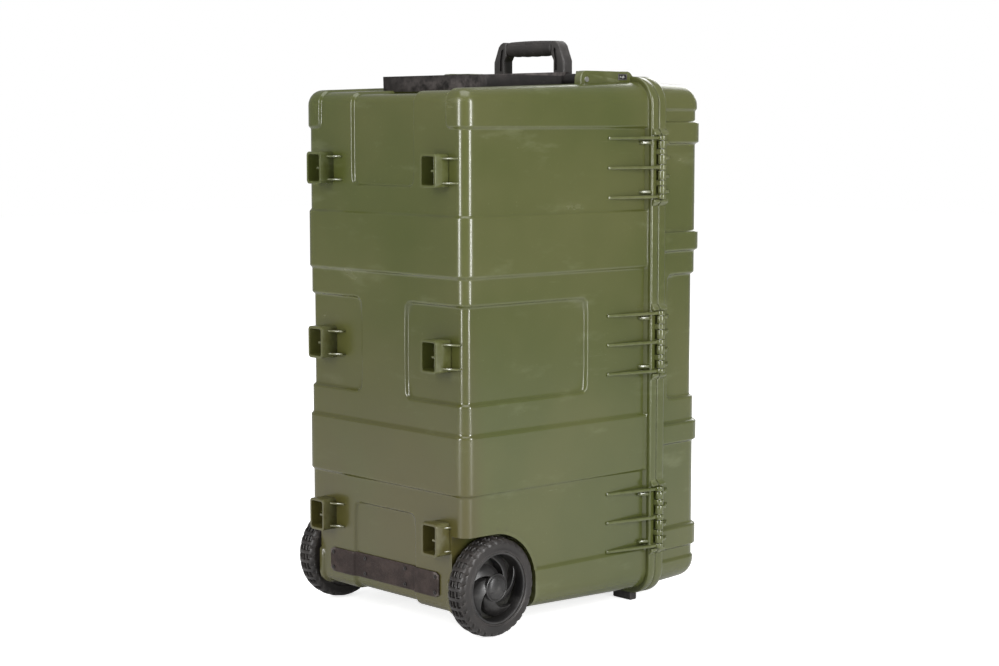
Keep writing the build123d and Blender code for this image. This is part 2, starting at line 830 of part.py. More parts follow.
# ---------------------------------------------------------------- rub strip and its screws
with BuildPart() as rub_strip:
    outer_y = bottom_y - strip_t
    dip_y = bottom_y + panel_in
    inner_edge = channel_half_w - strip_t
    add(
        boxes(
            *both_sides((channel_half_w, strip_half_w, outer_y, bottom_y, *strip_z)),
            *both_sides((inner_edge, channel_half_w, outer_y, dip_y, *strip_z)),
            (-channel_half_w, channel_half_w, dip_y - strip_t, dip_y, *strip_z),
        )
    )
    for x, z in screw_spots:
        with Locations(Location((x, strip_floor(x), z), (90, 0, 0))):
            Cylinder(screw_r, 8, mode=Mode.SUBTRACT)
save(rub_strip.part, "rub_strip")

with BuildPart() as strip_screws:
    for x, z in screw_spots:
        floor = strip_floor(x)
        shank = strip_t + screw_bite - 0.2
        with Locations(Location((x, floor - strip_t + shank / 2, z), (90, 0, 0))):
            Cylinder(screw_r, shank)
        with Locations(Location((x, floor - strip_t - 0.7, z), (90, 0, 0))):
            Cylinder(3.2, 1.4)
save(strip_screws.part, "rub_strip_screws")

# ---------------------------------------------------------------- end feet
flange_z = mid_z - wall_h - flange_out
with BuildPart() as end_feet:
    with Locations((151, (flange_y + parting_y) / 2, flange_z / 2)):
        Box(38, base_flange_t, flange_z)
    chamfer(end_feet.faces().sort_by(Axis.Z)[0].edges(), 2)
    mirror(about=Plane.YZ)
save(end_feet.part, "end_feet")

# ---------------------------------------------------------------- pressure valve
with BuildPart() as pressure_valve:
    seat_x = valve_x + 0.6
    with Locations(along_x(-seat_x - 3, valve_y, mid_z)):
        Cylinder(14, 6)
    with Locations(along_x(-valve_x + 5, valve_y, mid_z)):
        Cylinder(8, 14)
    fillet(pressure_valve.faces().sort_by(Axis.X)[0].edges(), 2)
save(pressure_valve.part, "pressure_valve")
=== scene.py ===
import json
from math import ceil, cos, degrees, hypot, pi, radians, sin, tan

import bmesh
import bpy
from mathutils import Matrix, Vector


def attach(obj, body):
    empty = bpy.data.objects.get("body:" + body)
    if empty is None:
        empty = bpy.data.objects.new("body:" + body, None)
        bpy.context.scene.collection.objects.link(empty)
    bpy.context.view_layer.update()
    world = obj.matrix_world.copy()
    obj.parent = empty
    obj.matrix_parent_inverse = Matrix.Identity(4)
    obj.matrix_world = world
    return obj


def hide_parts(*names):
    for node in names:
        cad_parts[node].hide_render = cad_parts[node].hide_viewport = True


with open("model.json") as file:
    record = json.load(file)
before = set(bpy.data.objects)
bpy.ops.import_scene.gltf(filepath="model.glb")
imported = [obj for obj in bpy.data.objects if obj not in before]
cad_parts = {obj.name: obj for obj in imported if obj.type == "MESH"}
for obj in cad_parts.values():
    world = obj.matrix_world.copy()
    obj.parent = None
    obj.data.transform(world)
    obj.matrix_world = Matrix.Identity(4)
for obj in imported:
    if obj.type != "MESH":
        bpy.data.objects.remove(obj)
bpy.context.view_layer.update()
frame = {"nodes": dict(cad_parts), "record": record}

scene = bpy.context.scene
MM = 0.001

# Camera, about level with the top of the case and turned to show its bottom and hinge side.
LENS = 72.1
CAMERA_TURN = 46.853
CAMERA_DIP = 6.06
camera = bpy.data.objects.new("camera", bpy.data.cameras.new("camera"))
scene.collection.objects.link(camera)
camera.data.lens = LENS
camera.data.sensor_width = 36.0
camera.location = (2.3445, -2.197, 0.773)
turn, dip = radians(CAMERA_TURN), radians(CAMERA_DIP)
looking = Vector((-sin(turn) * cos(dip), cos(turn) * cos(dip), -sin(dip)))
camera.rotation_mode = "QUATERNION"
camera.rotation_quaternion = looking.to_track_quat("-Z", "Y")
camera.data.clip_end = 60.0
scene.camera = camera
scene.view_settings.view_transform = "Standard"
scene.view_settings.look = "None"


# Studio: a pale floor that runs out of sight, pale surroundings, and large soft boxes.
# None of it belongs to the case.
def node(tree, kind, inputs=None, **settings):
    """A shader node with its settings, and its inputs as values or as links."""
    made = tree.nodes.new(kind)
    for key, value in settings.items():
        setattr(made, key, value)
    for key, value in (inputs or {}).items():
        if isinstance(value, bpy.types.NodeSocket):
            tree.links.new(value, made.inputs[key])
        else:
            made.inputs[key].default_value = value
    return made


world = bpy.data.worlds.new("studio")
world.use_nodes = True
scene.world = world
surroundings = world.node_tree
surroundings.nodes.clear()
seen = node(surroundings, "ShaderNodeBackground", {"Color": (1, 1, 1, 1), "Strength": 1.0})
felt = node(surroundings, "ShaderNodeBackground", {"Color": (1, 1, 1, 1), "Strength": 0.45})
ray = node(surroundings, "ShaderNodeLightPath")
blend = node(surroundings, "ShaderNodeMixShader", {0: ray.outputs["Is Camera Ray"]})
surroundings.links.new(felt.outputs[0], blend.inputs[1])
surroundings.links.new(seen.outputs[0], blend.inputs[2])
node(surroundings, "ShaderNodeOutputWorld", {"Surface": blend.outputs[0]})

floor_paint = bpy.data.materials.new("studio_floor")
floor_paint.use_nodes = True
floor_shader = floor_paint.node_tree.nodes["Principled BSDF"]
floor_shader.inputs["Base Color"].default_value = (0.75, 0.75, 0.75, 1)
floor_shader.inputs["Emission Color"].default_value = (1, 1, 1, 1)
floor_ray = node(floor_paint.node_tree, "ShaderNodeLightPath")
floor_glow = node(
    floor_paint.node_tree,
    "ShaderNodeMapRange",
    {"Value": floor_ray.outputs["Is Camera Ray"], "To Min": 0.04, "To Max": 0.75},
)
floor_paint.node_tree.links.new(
    floor_glow.outputs["Result"], floor_shader.inputs["Emission Strength"]
)
floor_shader.inputs["Roughness"].default_value = 0.9
floor_mesh = bpy.data.meshes.new("studio_floor")
floor_mesh.from_pydata(
    [(-12, -12, -0.0004), (12, -12, -0.0004), (12, 12, -0.0004), (-12, 12, -0.0004)],
    [],
    [(0, 1, 2, 3)],
)
floor_mesh.materials.append(floor_paint)
studio_floor = bpy.data.objects.new("studio_floor", floor_mesh)
scene.collection.objects.link(studio_floor)


def soft_box(name, place, aim, width, height, power):
    light = bpy.data.lights.new(name, "AREA")
    light.shape = "RECTANGLE"
    light.size, light.size_y, light.energy = width, height, power
    lamp = bpy.data.objects.new(name, light)
    scene.collection.objects.link(lamp)
    lamp.location = place
    lamp.rotation_mode = "QUATERNION"
    lamp.rotation_quaternion = (Vector(aim) - Vector(place)).to_track_quat("-Z", "Y")


soft_box("soft_box_bottom_side", (0.1, -3.4, 1.25), (0, 0, 0.45), 0.34, 2.5, 108)
soft_box("soft_box_hinge_side", (3.4, 0.0, 1.25), (0, 0, 0.45), 0.34, 2.5, 140)
soft_box("soft_box_above", (0.4, -0.4, 3.4), (0, 0, 0.4), 2.4, 2.4, 60)
soft_box("soft_box_lid_side", (-1.4, 3.4, 2.2), (0, 0, 0.45), 1.6, 2.0, 45)

# Base shell: the deep half of an injection-moulded case, in olive polypropylene with a soft
# shine. Bands, panels, channels and corner caps are stepped into one wall about 5 mm thick,
# which ends in a flange. The wheels sit in two wells cut into its lower corners.
DRAFT = tan(radians(2.1))
BASE_BOTTOM, PARTING, LID_TOP = -244.0, 146.0, 264.0
FLANGE_BACK, LID_FLANGE = 131.0, 164.0
CORE_W, CORE_H = 165.6, 369.5
MIDDLE = 427.0  # height of the shells' middle above the floor
WALL = 5.0
STEP_ROWS = (-7, -4.2, -2.6, -1.3, 0, 1.3, 2.6, 4.2, 7)


def grid_lines(low, high, steps, spacing, rows=STEP_ROWS):
    """Places of grid lines from low to high, close together at every step."""
    found = [low, high]
    for step in sorted(steps):
        for row in rows:
            place = step + row
            if all(abs(place - other) > 0.9 for other in found) and low < place < high:
                found.append(place)
    found.sort()
    lines = []
    for a, b in zip(found, found[1:]):
        parts = max(1, ceil((b - a) / spacing))
        lines += [a + (b - a) * i / parts for i in range(parts)]
    return [*lines, high]


def ease(value, width=5.0):
    """0 outside a step, 1 inside it, and a rounded slope about width wide between."""
    t = min(1.0, max(0.0, value / width + 0.5))
    return t * t * (3 - 2 * t)


def inside(*distances, corner=10.0):
    """How far a point is inside a zone, given its distance inside each edge of it."""
    near = [corner - d for d in distances if d < corner]
    if len(near) > 1:
        return corner - hypot(*near)
    return min(distances)


def span(value, low, high):
    return min(value - low, high - value)


BASE_BANDS, BAND_LIFT = ((218.7, 308.4), (542.7, 632.7)), 3.4
CAP_X, CAP_LOW, CAP_HIGH, CAP_LIFT = 148.0, 91.8, 762.4, 3.6
PANEL_X, PANEL_LOW, PANEL_HIGH, PANEL_Y = 53.0, 354.8, 500.8, 3.0
CHANNEL_HALF, CHANNEL_LOW, CHANNEL_HIGH, CHANNEL_Y = 72.0, 178.0, 675.0, 126.0
PANEL_IN = CHANNEL_IN = 4.3
TRAY_HALF, TRAY_Y, TRAY_LOW, TRAY_IN = 126.0, -156.0, 790.0, 8.0


def base_relief(x, y, z):
    """How far the base's wall stands out there, in mm."""
    side = abs(x)
    rise = 0.0
    for low, high in BASE_BANDS:
        rise += BAND_LIFT * ease(span(z, low, high))
    cap = max(inside(side - CAP_X, z - CAP_HIGH), inside(side - CAP_X, CAP_LOW - z))
    rise += (CAP_LIFT - rise) * ease(cap)
    panel = inside(side - PANEL_X, z - PANEL_LOW, PANEL_HIGH - z, PANEL_Y - y, corner=13.0)
    rise += (-PANEL_IN - rise) * ease(panel)
    channel = max(
        inside(CHANNEL_HALF - side, z - CHANNEL_HIGH, corner=12.0),
        inside(CHANNEL_HALF - side, CHANNEL_LOW - z, corner=12.0),
    )
    rise += (-CHANNEL_IN - rise) * ease(min(channel, CHANNEL_Y - y))
    if z > TRAY_LOW:  # the tray is in the top end's wall only
        rise += (-TRAY_IN - rise) * ease(inside(TRAY_HALF - side, y - TRAY_Y, corner=12.0))
    return rise


def core_loop(x_lines, z_lines, arc_parts=12):
    """Points round the core rectangle with the way out at each: (x, z, out x, out z)."""
    right, left = x_lines[-1], x_lines[0]
    low, high = z_lines[0], z_lines[-1]
    loop = []
    sides = (
        ([(right, z) for z in z_lines], (1, 0)),
        ([(x, high) for x in reversed(x_lines)], (0, 1)),
        ([(left, z) for z in reversed(z_lines)], (-1, 0)),
        ([(x, low) for x in x_lines], (0, -1)),
    )
    for number, (points, out) in enumerate(sides):
        loop += [(x, z, *out) for x, z in points]
        start = number * pi / 2
        for i in range(1, arc_parts):
            angle = start + i * pi / 2 / arc_parts
            loop.append((*points[-1], cos(angle), sin(angle)))
    return loop


def case_half(name, x_lines, z_lines, rows, relief):
    """A closed shell: a face with a grid of points, rows of points round the case that lead
    from it over the wall, the flange and back inside, and the face's inner side.
    A row is (out, y, normal out, normal y, share of the relief)."""
    mesh = bmesh.new()
    loop = core_loop(x_lines, z_lines)
    columns, heights = len(x_lines), len(z_lines)

    def face_grid(row):
        _, y, _, facing, share = row
        grid = []
        for z in z_lines:
            line = []
            for x in x_lines:
                lift = share * relief(x, y, z) * facing
                line.append(mesh.verts.new((x * MM, (y + lift) * MM, z * MM)))
            grid.append(line)
        return grid

    def ring(row):
        out, y, normal_out, normal_y, share = row
        made = []
        for x, z, dx, dz in loop:
            px, pz = x + out * dx, z + out * dz
            lift = share * relief(px, y, pz) if share else 0.0
            made.append(
                mesh.verts.new(
                    (
                        (px + lift * normal_out * dx) * MM,
                        (y + lift * normal_y) * MM,
                        (pz + lift * normal_out * dz) * MM,
                    )
                )
            )
        return made

    def border(grid):
        edge = [grid[j][-1] for j in range(heights)]
        arc = 11
        found = edge + [edge[-1]] * arc
        edge = [grid[-1][i] for i in reversed(range(columns))]
        found += edge + [edge[-1]] * arc
        edge = [grid[j][0] for j in reversed(range(heights))]
        found += edge + [edge[-1]] * arc
        edge = [grid[0][i] for i in range(columns)]
        return found + edge + [edge[-1]] * arc

    def skin(a, b):
        count = len(a)
        for i in range(count):
            k = (i + 1) % count
            corners = [a[i], a[k], b[k], b[i]]
            kept = [v for n, v in enumerate(corners) if v is not corners[n - 1]]
            if len(set(kept)) > 2:
                mesh.faces.new(kept)

    first, last = face_grid(rows[0]), face_grid(rows[-1])
    for grid, flip in ((first, False), (last, True)):
        for j in range(heights - 1):
            for i in range(columns - 1):
                quad = [grid[j][i], grid[j][i + 1], grid[j + 1][i + 1], grid[j + 1][i]]
                mesh.faces.new(quad[::-1] if flip else quad)
    before = border(first)
    for row in rows[1:-1]:
        now = ring(row)
        skin(before, now)
        before = now
    skin(before, border(last))
    bmesh.ops.recalc_face_normals(mesh, faces=mesh.faces)
    return mesh_object(name, mesh)


def mesh_object(name, mesh, smooth=40.0):
    """A mesh as an object, smooth but for edges sharper than an angle in degrees."""
    data = bpy.data.meshes.new(name)
    mesh.to_mesh(data)
    mesh.free()
    made = bpy.data.objects.new(name, data)
    scene.collection.objects.link(made)
    data.polygons.foreach_set("use_smooth", [True] * len(data.polygons))
    data.set_sharp_from_angle(angle=radians(smooth))
    return made


def wall_rows(turn_y, end_y, facing, radius, steps, spacing):
    """Rows from the face over its round edge and along the drafted wall, outside.
    Facing is -1 where the face looks towards -Y and 1 where it looks towards +Y."""
    tilt = radians(2.1)
    width_there = 20.0 if facing < 0 else 20.0 + DRAFT * 275.0
    centre = width_there + DRAFT * radius - radius / cos(tilt)
    rows = [(0, turn_y, 0, facing, 1)]
    parts = 9
    for i in range(parts + 1):
        angle = (pi / 2 - tilt) * i / parts
        out = centre + radius * sin(angle)
        y = turn_y - facing * radius * (1 - cos(angle))
        rows.append((out, y, sin(angle), facing * cos(angle), 1))
    low, high = sorted((rows[-1][1], end_y))
    lines = grid_lines(low, high, steps, spacing)
    if facing > 0:
        lines.reverse()
    for y in lines[1:]:
        out = width_there + DRAFT * abs(y - turn_y)
        rows.append((out, y, cos(tilt), facing * sin(tilt), 1))
    return rows


def inner_rows(rows, thick, facing):
    """The same wall's inner side, back from the flange to the face."""
    kept = rows[1:]
    thinned = [kept[i] for i in range(len(kept)) if i < 10 or i % 2 or i == len(kept) - 1]
    made = []
    for out, y, normal_out, normal_y, share in reversed(thinned):
        made.append((out - thick * normal_out, y - thick * normal_y, normal_out, normal_y, share))
    _, y, _, normal_y, share = rows[0]
    return [*made, (0, y - thick * facing, 0, facing, share)]


relief_x = (PANEL_X, CHANNEL_HALF, TRAY_HALF, CAP_X)
base_x = grid_lines(-CORE_W, CORE_W, [way * x for way in (-1, 1) for x in relief_x], 16.0)
base_z = grid_lines(
    MIDDLE - CORE_H,
    MIDDLE + CORE_H,
    (CAP_LOW, CHANNEL_LOW, *BASE_BANDS[0], PANEL_LOW, PANEL_HIGH, *BASE_BANDS[1], CHANNEL_HIGH,
     CAP_HIGH),
    18.0,
)
outside = wall_rows(BASE_BOTTOM, FLANGE_BACK - 4.5, -1, 18.0, (TRAY_Y, PANEL_Y, 120.0), 20.0)
wall_out = outside[-1][0] + DRAFT * 4.5
flange_out = wall_out + 12.0
flange = [
    (wall_out + 4.6, FLANGE_BACK, 0, -1, 0),
    (flange_out - 2.6, FLANGE_BACK, 0, -1, 0),
    (flange_out - 1.2, FLANGE_BACK + 0.4, 0, 0, 0),
    (flange_out - 0.35, FLANGE_BACK + 1.3, 0, 0, 0),
    (flange_out, FLANGE_BACK + 2.8, 0, 0, 0),
    (flange_out, PARTING - 2.2, 0, 0, 0),
    (flange_out - 0.4, PARTING - 1.0, 0, 0, 0),
    (flange_out - 1.5, PARTING - 0.2, 0, 0, 0),
    (wall_out + 5.6, PARTING - 0.2, 0, 0, 0),
    (wall_out + 5.4, PARTING + 2.8, 0, 0, 0),
    (wall_out + 4.8, PARTING + 3.4, 0, 0, 0),
    (wall_out + 3.2, PARTING + 3.4, 0, 0, 0),
    (wall_out + 2.6, PARTING + 2.8, 0, 0, 0),
    (wall_out + 2.4, PARTING - 0.2, 0, 0, 0),
    (wall_out - 3.6, PARTING - 0.2, 0, 0, 0),
    (wall_out - 4.6, PARTING - 1.2, 0, 0, 0),
    (wall_out - 4.9, PARTING - 6.0, 0, 0, 0),
    (wall_out - 5.0, FLANGE_BACK, 0, 0, 0),
]
base_shell = case_half(
    "base_shell_moulding",
    base_x,
    base_z,
    [*outside, *flange, *inner_rows(outside, WALL, -1)],
    base_relief,
)


def apply_modifiers(thing):
    """Puts the result of an object's modifiers into its mesh."""
    graph = bpy.context.evaluated_depsgraph_get()
    done = bpy.data.meshes.new_from_object(thing.evaluated_get(graph))
    thing.modifiers.clear()
    thing.data = done
    return thing


def carve(thing, tool, operation="DIFFERENCE"):
    """Cuts a shape out of a mesh, adds it, or keeps what is inside it; the tool is used up."""
    change = thing.modifiers.new("carve", "BOOLEAN")
    change.operation, change.object, change.solver = operation, tool, "MANIFOLD"
    apply_modifiers(thing)
    bpy.data.objects.remove(tool)
    return thing


def prism(name, outline, axis, low, high, bevel=0.0, parts=2):
    """A solid with a flat outline, in mm, that runs along an axis from low to high.
    The outline's two numbers are the other two axes, in the order x, y, z."""
    others = [i for i in range(3) if i != "xyz".index(axis)]
    mesh = bmesh.new()
    ends = []
    for place in (low, high):
        ring = []
        for point in outline:
            spot = [0.0, 0.0, 0.0]
            spot["xyz".index(axis)] = place * MM
            spot[others[0]], spot[others[1]] = point[0] * MM, point[1] * MM
            ring.append(mesh.verts.new(spot))
        ends.append(ring)
    count = len(outline)
    mesh.faces.new(ends[0])
    mesh.faces.new(ends[1][::-1])
    for i in range(count):
        k = (i + 1) % count
        mesh.faces.new((ends[0][i], ends[1][i], ends[1][k], ends[0][k]))
    bmesh.ops.recalc_face_normals(mesh, faces=mesh.faces)
    if bevel:
        sharp = [e for e in mesh.edges if e.calc_face_angle(0) > radians(25)]
        bmesh.ops.bevel(
            mesh, geom=sharp, offset=bevel * MM, segments=parts, profile=0.5, affect="EDGES",
            clamp_overlap=True,
        )
    return mesh_object(name, mesh, smooth=35.0 if bevel else 30.0)


def sideways(name, outline, side, inner, outer, bevel=0.0, parts=2):
    """A solid along X, between two distances from the middle on one side of the case."""
    low, high = sorted((side * inner, side * outer))
    return prism(name, outline, "x", low, high, bevel, parts)


def rounded_box(width, height, radius, parts=5, at=(0.0, 0.0)):
    """The outline of a rectangle with round corners."""
    points = []
    for number, (sx, sy) in enumerate(((1, 1), (-1, 1), (-1, -1), (1, -1))):
        for i in range(parts + 1):
            angle = (number + i / parts) * pi / 2
            points.append(
                (
                    at[0] + sx * (width / 2 - radius) + radius * cos(angle),
                    at[1] + sy * (height / 2 - radius) + radius * sin(angle),
                )
            )
    return points


def disc(radius, parts=32, at=(0.0, 0.0), start=0.0, end=2 * pi):
    """Points on a circle or, with a start and end, on an arc with both its ends."""
    whole = end - start > 2 * pi - 0.001
    steps = parts if whole else parts + 1
    return [
        (
            at[0] + radius * cos(start + (end - start) * i / parts),
            at[1] + radius * sin(start + (end - start) * i / parts),
        )
        for i in range(steps)
    ]


WHEEL_Y, WHEEL_Z, WELL_R = -186.4, 76.0, 80.5


def well_outline(grow):
    """The well seen from the side: an arch over the wheel, open below and to the base's bottom."""
    top, back = WHEEL_Z + WELL_R + grow, WHEEL_Y + WELL_R + grow
    arch = disc(WELL_R + grow, 20, (WHEEL_Y, WHEEL_Z), 0.0, pi / 2)
    return [(back, -80.0), *arch, (-330.0, top), (-330.0, -80.0)]


for side in (-1, 1):
    lining = sideways("lining", well_outline(WALL), side, 152.0, 260.0)
    body = case_half(
        "well_body",
        [-CORE_W, CORE_W],
        [MIDDLE - CORE_H, MIDDLE + CORE_H],
        [
            *wall_rows(BASE_BOTTOM + 1.0, 60.0, -1, 17.0, (), 400.0)[:-1],
            (36.0, 20.0, 0, 0, 0),
            (0, 20.0, 0, 1, 0),
        ],
        lambda x, y, z: -1.2,
    )
    carve(lining, body, "INTERSECT")
    carve(base_shell, lining, "UNION")
    carve(base_shell, sideways("well", well_outline(0.0), side, 157.0, 260.0))
base_shell.data.polygons.foreach_set("use_smooth", [True] * len(base_shell.data.polygons))
base_shell.data.set_sharp_from_angle(angle=radians(38))


def effect(name, inputs, outputs):
    """An empty node group with named inputs, as (name, kind, value), and outputs."""
    group = bpy.data.node_groups.new(name, "ShaderNodeTree")
    for label, kind, value in inputs:
        socket = group.interface.new_socket(label, in_out="INPUT", socket_type="NodeSocket" + kind)
        socket.default_value = value
    for label, kind in outputs:
        group.interface.new_socket(label, in_out="OUTPUT", socket_type="NodeSocket" + kind)
    return group, node(group, "NodeGroupInput").outputs, node(group, "NodeGroupOutput").inputs


def noise(tree, place, scale, detail=4.0, rough=0.55, stretch=None):
    """Noise at a number of lumps a metre, as a value round 0.5."""
    if stretch:
        scaled = node(tree, "ShaderNodeMapping", {"Vector": place, "Scale": stretch})
        place = scaled.outputs[0]
    made = node(
        tree,
        "ShaderNodeTexNoise",
        {"Vector": place, "Scale": scale, "Detail": detail, "Roughness": rough},
    )
    return made.outputs["Fac"]


def sift(tree, value, low, high, to_low=0.0, to_high=1.0):
    """A value between low and high spread smoothly over a new range."""
    made = node(
        tree,
        "ShaderNodeMapRange",
        {"Value": value, "From Min": low, "From Max": high, "To Min": to_low, "To Max": to_high},
        interpolation_type="SMOOTHSTEP",
    )
    return made.outputs["Result"]


def times(tree, a, b, operation="MULTIPLY"):
    return node(tree, "ShaderNodeMath", {0: a, 1: b}, operation=operation).outputs[0]


def mixed(tree, share, a, b):
    made = node(tree, "ShaderNodeMix", data_type="RGBA")
    for socket, value in ((made.inputs[0], share), (made.inputs[6], a), (made.inputs[7], b)):
        if isinstance(value, bpy.types.NodeSocket):
            tree.links.new(value, socket)
        else:
            socket.default_value = value
    return made.outputs[2]


def graded(tree, value, given, low=0.0, high=1.0):
    """Roughness that goes from Smooth to Rough as a value goes from low to high."""
    made = node(
        tree,
        "ShaderNodeMapRange",
        {"Value": value, "From Min": low, "From Max": high, "To Min": given["Smooth"],
         "To Max": given["Rough"]},
    )
    return made.outputs["Result"]


# moulded plastic: cloudy colour, faint scuffs along the wall, dust specks, a fine skin, and
# a browner, darker tint low down on the base's bottom face
moulded, given, out = effect(
    "moulded plastic",
    [
        ("Colour", "Color", (0.1, 0.1, 0.1, 1)),
        ("Cloud Colour", "Color", (0.1, 0.1, 0.1, 1)),
        ("Cloud Scale", "Float", 4.0),
        ("Scuff Colour", "Color", (0.3, 0.3, 0.3, 1)),
        ("Scuffs", "Float", 0.3),
        ("Dust", "Float", 0.3),
        ("Smooth", "Float", 0.35),
        ("Rough", "Float", 0.5),
        ("Grain", "Float", 600.0),
        ("Bottom Tint Colour", "Color", (0.05, 0.04, 0.02, 1)),
        ("Bottom Tint", "Float", 0.0),
    ],
    [("Colour", "Color"), ("Roughness", "Float"), ("Height", "Float")],
)
place = node(moulded, "ShaderNodeTexCoord").outputs["Object"]
clouds = sift(moulded, noise(moulded, place, given["Cloud Scale"], 3.0, 0.5), 0.36, 0.68)
streaks = sift(
    moulded, noise(moulded, place, 9.0, 5.0, 0.62, stretch=(1.0, 1.0, 3.2)), 0.56, 0.78
)
scratches = sift(
    moulded, noise(moulded, place, 26.0, 6.0, 0.7, stretch=(0.35, 0.35, 7.0)), 0.66, 0.74
)
specks = sift(moulded, noise(moulded, place, 420.0, 2.0, 0.5), 0.70, 0.78)
scuffed = times(moulded, times(moulded, streaks, scratches, "MAXIMUM"), given["Scuffs"])
coloured = mixed(moulded, clouds, given["Colour"], given["Cloud Colour"])
coloured = mixed(moulded, scuffed, coloured, given["Scuff Colour"])
coloured = mixed(moulded, times(moulded, specks, given["Dust"]), coloured, given["Scuff Colour"])
axes = node(moulded, "ShaderNodeSeparateXYZ", {"Vector": place}).outputs
# the base's bottom face is tinted browner and darker towards its lower end
low_down = sift(moulded, axes["Z"], 0.62, 0.12)
low_down = times(moulded, low_down, sift(moulded, axes["Y"], -0.20, -0.235))
bottom_tint_mask = times(
    moulded, low_down, sift(moulded, noise(moulded, place, 5.0, 3.0, 0.5), 0.25, 0.6, 0.5, 1.0)
)
coloured = mixed(
    moulded, times(moulded, bottom_tint_mask, given["Bottom Tint"]), coloured, given["Bottom Tint Colour"]
)
moulded.links.new(coloured, out["Colour"])
patchy = times(moulded, clouds, 0.45)
patchy = times(moulded, patchy, times(moulded, scuffed, 0.9), "ADD")
moulded.links.new(graded(moulded, patchy, given), out["Roughness"])
fine = noise(moulded, place, given["Grain"], 2.0, 0.6)
waves = noise(moulded, place, 16.0, 2.0, 0.4)
height = times(moulded, times(moulded, fine, 0.22), times(moulded, waves, 1.6), "ADD")
moulded.links.new(times(moulded, height, times(moulded, specks, 0.2), "ADD"), out["Height"])

# edge wear: outer edges rub paler, and corners that turn inwards take a crease tone, darker on the
# olive and satin black parts
worn_edges, given, out = effect(
    "edge wear",
    [
        ("Colour", "Color", (0.1, 0.1, 0.1, 1)),
        ("Worn Colour", "Color", (0.3, 0.3, 0.3, 1)),
        ("Wear", "Float", 0.5),
        ("Crease Tone Colour", "Color", (0.03, 0.03, 0.02, 1)),
        ("Crease Tone", "Float", 0.5),
    ],
    [("Colour", "Color")],
)
place = node(worn_edges, "ShaderNodeTexCoord").outputs["Object"]
point = node(worn_edges, "ShaderNodeNewGeometry").outputs["Pointiness"]
broken = sift(worn_edges, noise(worn_edges, place, 60.0, 5.0, 0.65), 0.3, 0.7)
ridge = times(worn_edges, sift(worn_edges, point, 0.52, 0.60), broken)
# inward corners are tinted with the crease tone, darker there on the olive and satin black parts
hollow = sift(worn_edges, point, 0.485, 0.42)
coloured = mixed(
    worn_edges, times(worn_edges, hollow, given["Crease Tone"]), given["Colour"], given["Crease Tone Colour"]
)
coloured = mixed(
    worn_edges, times(worn_edges, ridge, given["Wear"]), coloured, given["Worn Colour"]
)
worn_edges.links.new(coloured, out["Colour"])


def finish(name, effect_group, values, shader, bump=0.1, depth=0.3, wear=None):
    """A material: a shared effect with its values, then edge wear, then the shader."""
    made = bpy.data.materials.new(name)
    made.use_nodes = True
    tree = made.node_tree
    shading = tree.nodes["Principled BSDF"]
    for key, value in shader.items():
        shading.inputs[key].default_value = value
    look = node(tree, "ShaderNodeGroup", node_tree=effect_group)
    for key, value in values.items():
        look.inputs[key].default_value = value
    colour = look.outputs["Colour"]
    if wear:
        rubbed = node(tree, "ShaderNodeGroup", node_tree=worn_edges)
        for key, value in wear.items():
            rubbed.inputs[key].default_value = value
        tree.links.new(colour, rubbed.inputs["Colour"])
        colour = rubbed.outputs["Colour"]
    tree.links.new(colour, shading.inputs["Base Color"])
    tree.links.new(look.outputs["Roughness"], shading.inputs["Roughness"])
    relief = node(tree, "ShaderNodeBump", {"Strength": bump, "Distance": depth * MM})
    tree.links.new(look.outputs["Height"], relief.inputs["Height"])
    tree.links.new(relief.outputs[0], shading.inputs["Normal"])
    return made


olive = finish(
    "olive_polypropylene",
    moulded,
    {
        "Colour": (0.046, 0.054, 0.0125, 1), "Cloud Colour": (0.058, 0.062, 0.017, 1),
        "Cloud Scale": 4.0, "Scuff Colour": (0.19, 0.20, 0.12, 1), "Scuffs": 0.16, "Dust": 0.3,
        # the tint low down on the base's bottom face, browner and darker
        "Bottom Tint Colour": (0.050, 0.040, 0.011, 1), "Bottom Tint": 0.75, "Smooth": 0.19, "Rough": 0.36,
        "Grain": 700.0,
    },
    {"Specular IOR Level": 0.5},
    bump=0.16,
    depth=0.5,
    wear={
        "Worn Colour": (0.22, 0.23, 0.14, 1),
        "Wear": 0.35,
        # crease tone: inward corners of the olive shell tinted darker
        "Crease Tone Colour": (0.035, 0.036, 0.016, 1),
        "Crease Tone": 0.55,
    },
)


def place_piece(thing, body, material, slot, *nodes):
    """Gives a piece its material and its CAD body, and hides the nodes it stands for. The slot is
    not used.
    """
    thing.data.materials.clear()
    thing.data.materials.append(material)
    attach(thing, body)
    if nodes:
        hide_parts(*nodes)
    return thing


place_piece(base_shell, "base", olive, "shell_green", "base_shell")

# Lid shell: the shallow half, in the same plastic, with four bands right round it, end caps
# and two sunken panels on its top. Its flange has the groove that holds the seal.
LID_BANDS, LID_BAND_LIFT = ((81, 116), (254, 287), (565, 596), (737, 771)), 6.0
LID_CAP_LOW, LID_CAP_HIGH, LID_CAP_LIFT = 62.0, 790.0, 2.8
LID_PANEL_X, LID_PANEL_Y, LID_PANEL_IN = 60.0, 184.0, 5.2
LID_PANEL_LOW, LID_PANEL_HIGH = 326.5, 527.0


def lid_relief(x, y, z):
    """How far the lid's wall stands out there, in mm."""
    rise = 0.0
    for low, high in LID_BANDS:
        rise += LID_BAND_LIFT * ease(span(z, low, high))
    rise += (LID_CAP_LIFT - rise) * ease(max(z - LID_CAP_HIGH, LID_CAP_LOW - z))
    panel = inside(
        abs(x) - LID_PANEL_X, y - LID_PANEL_Y, z - LID_PANEL_LOW, LID_PANEL_HIGH - z, corner=12.0
    )
    return rise + (-LID_PANEL_IN - rise) * ease(panel)


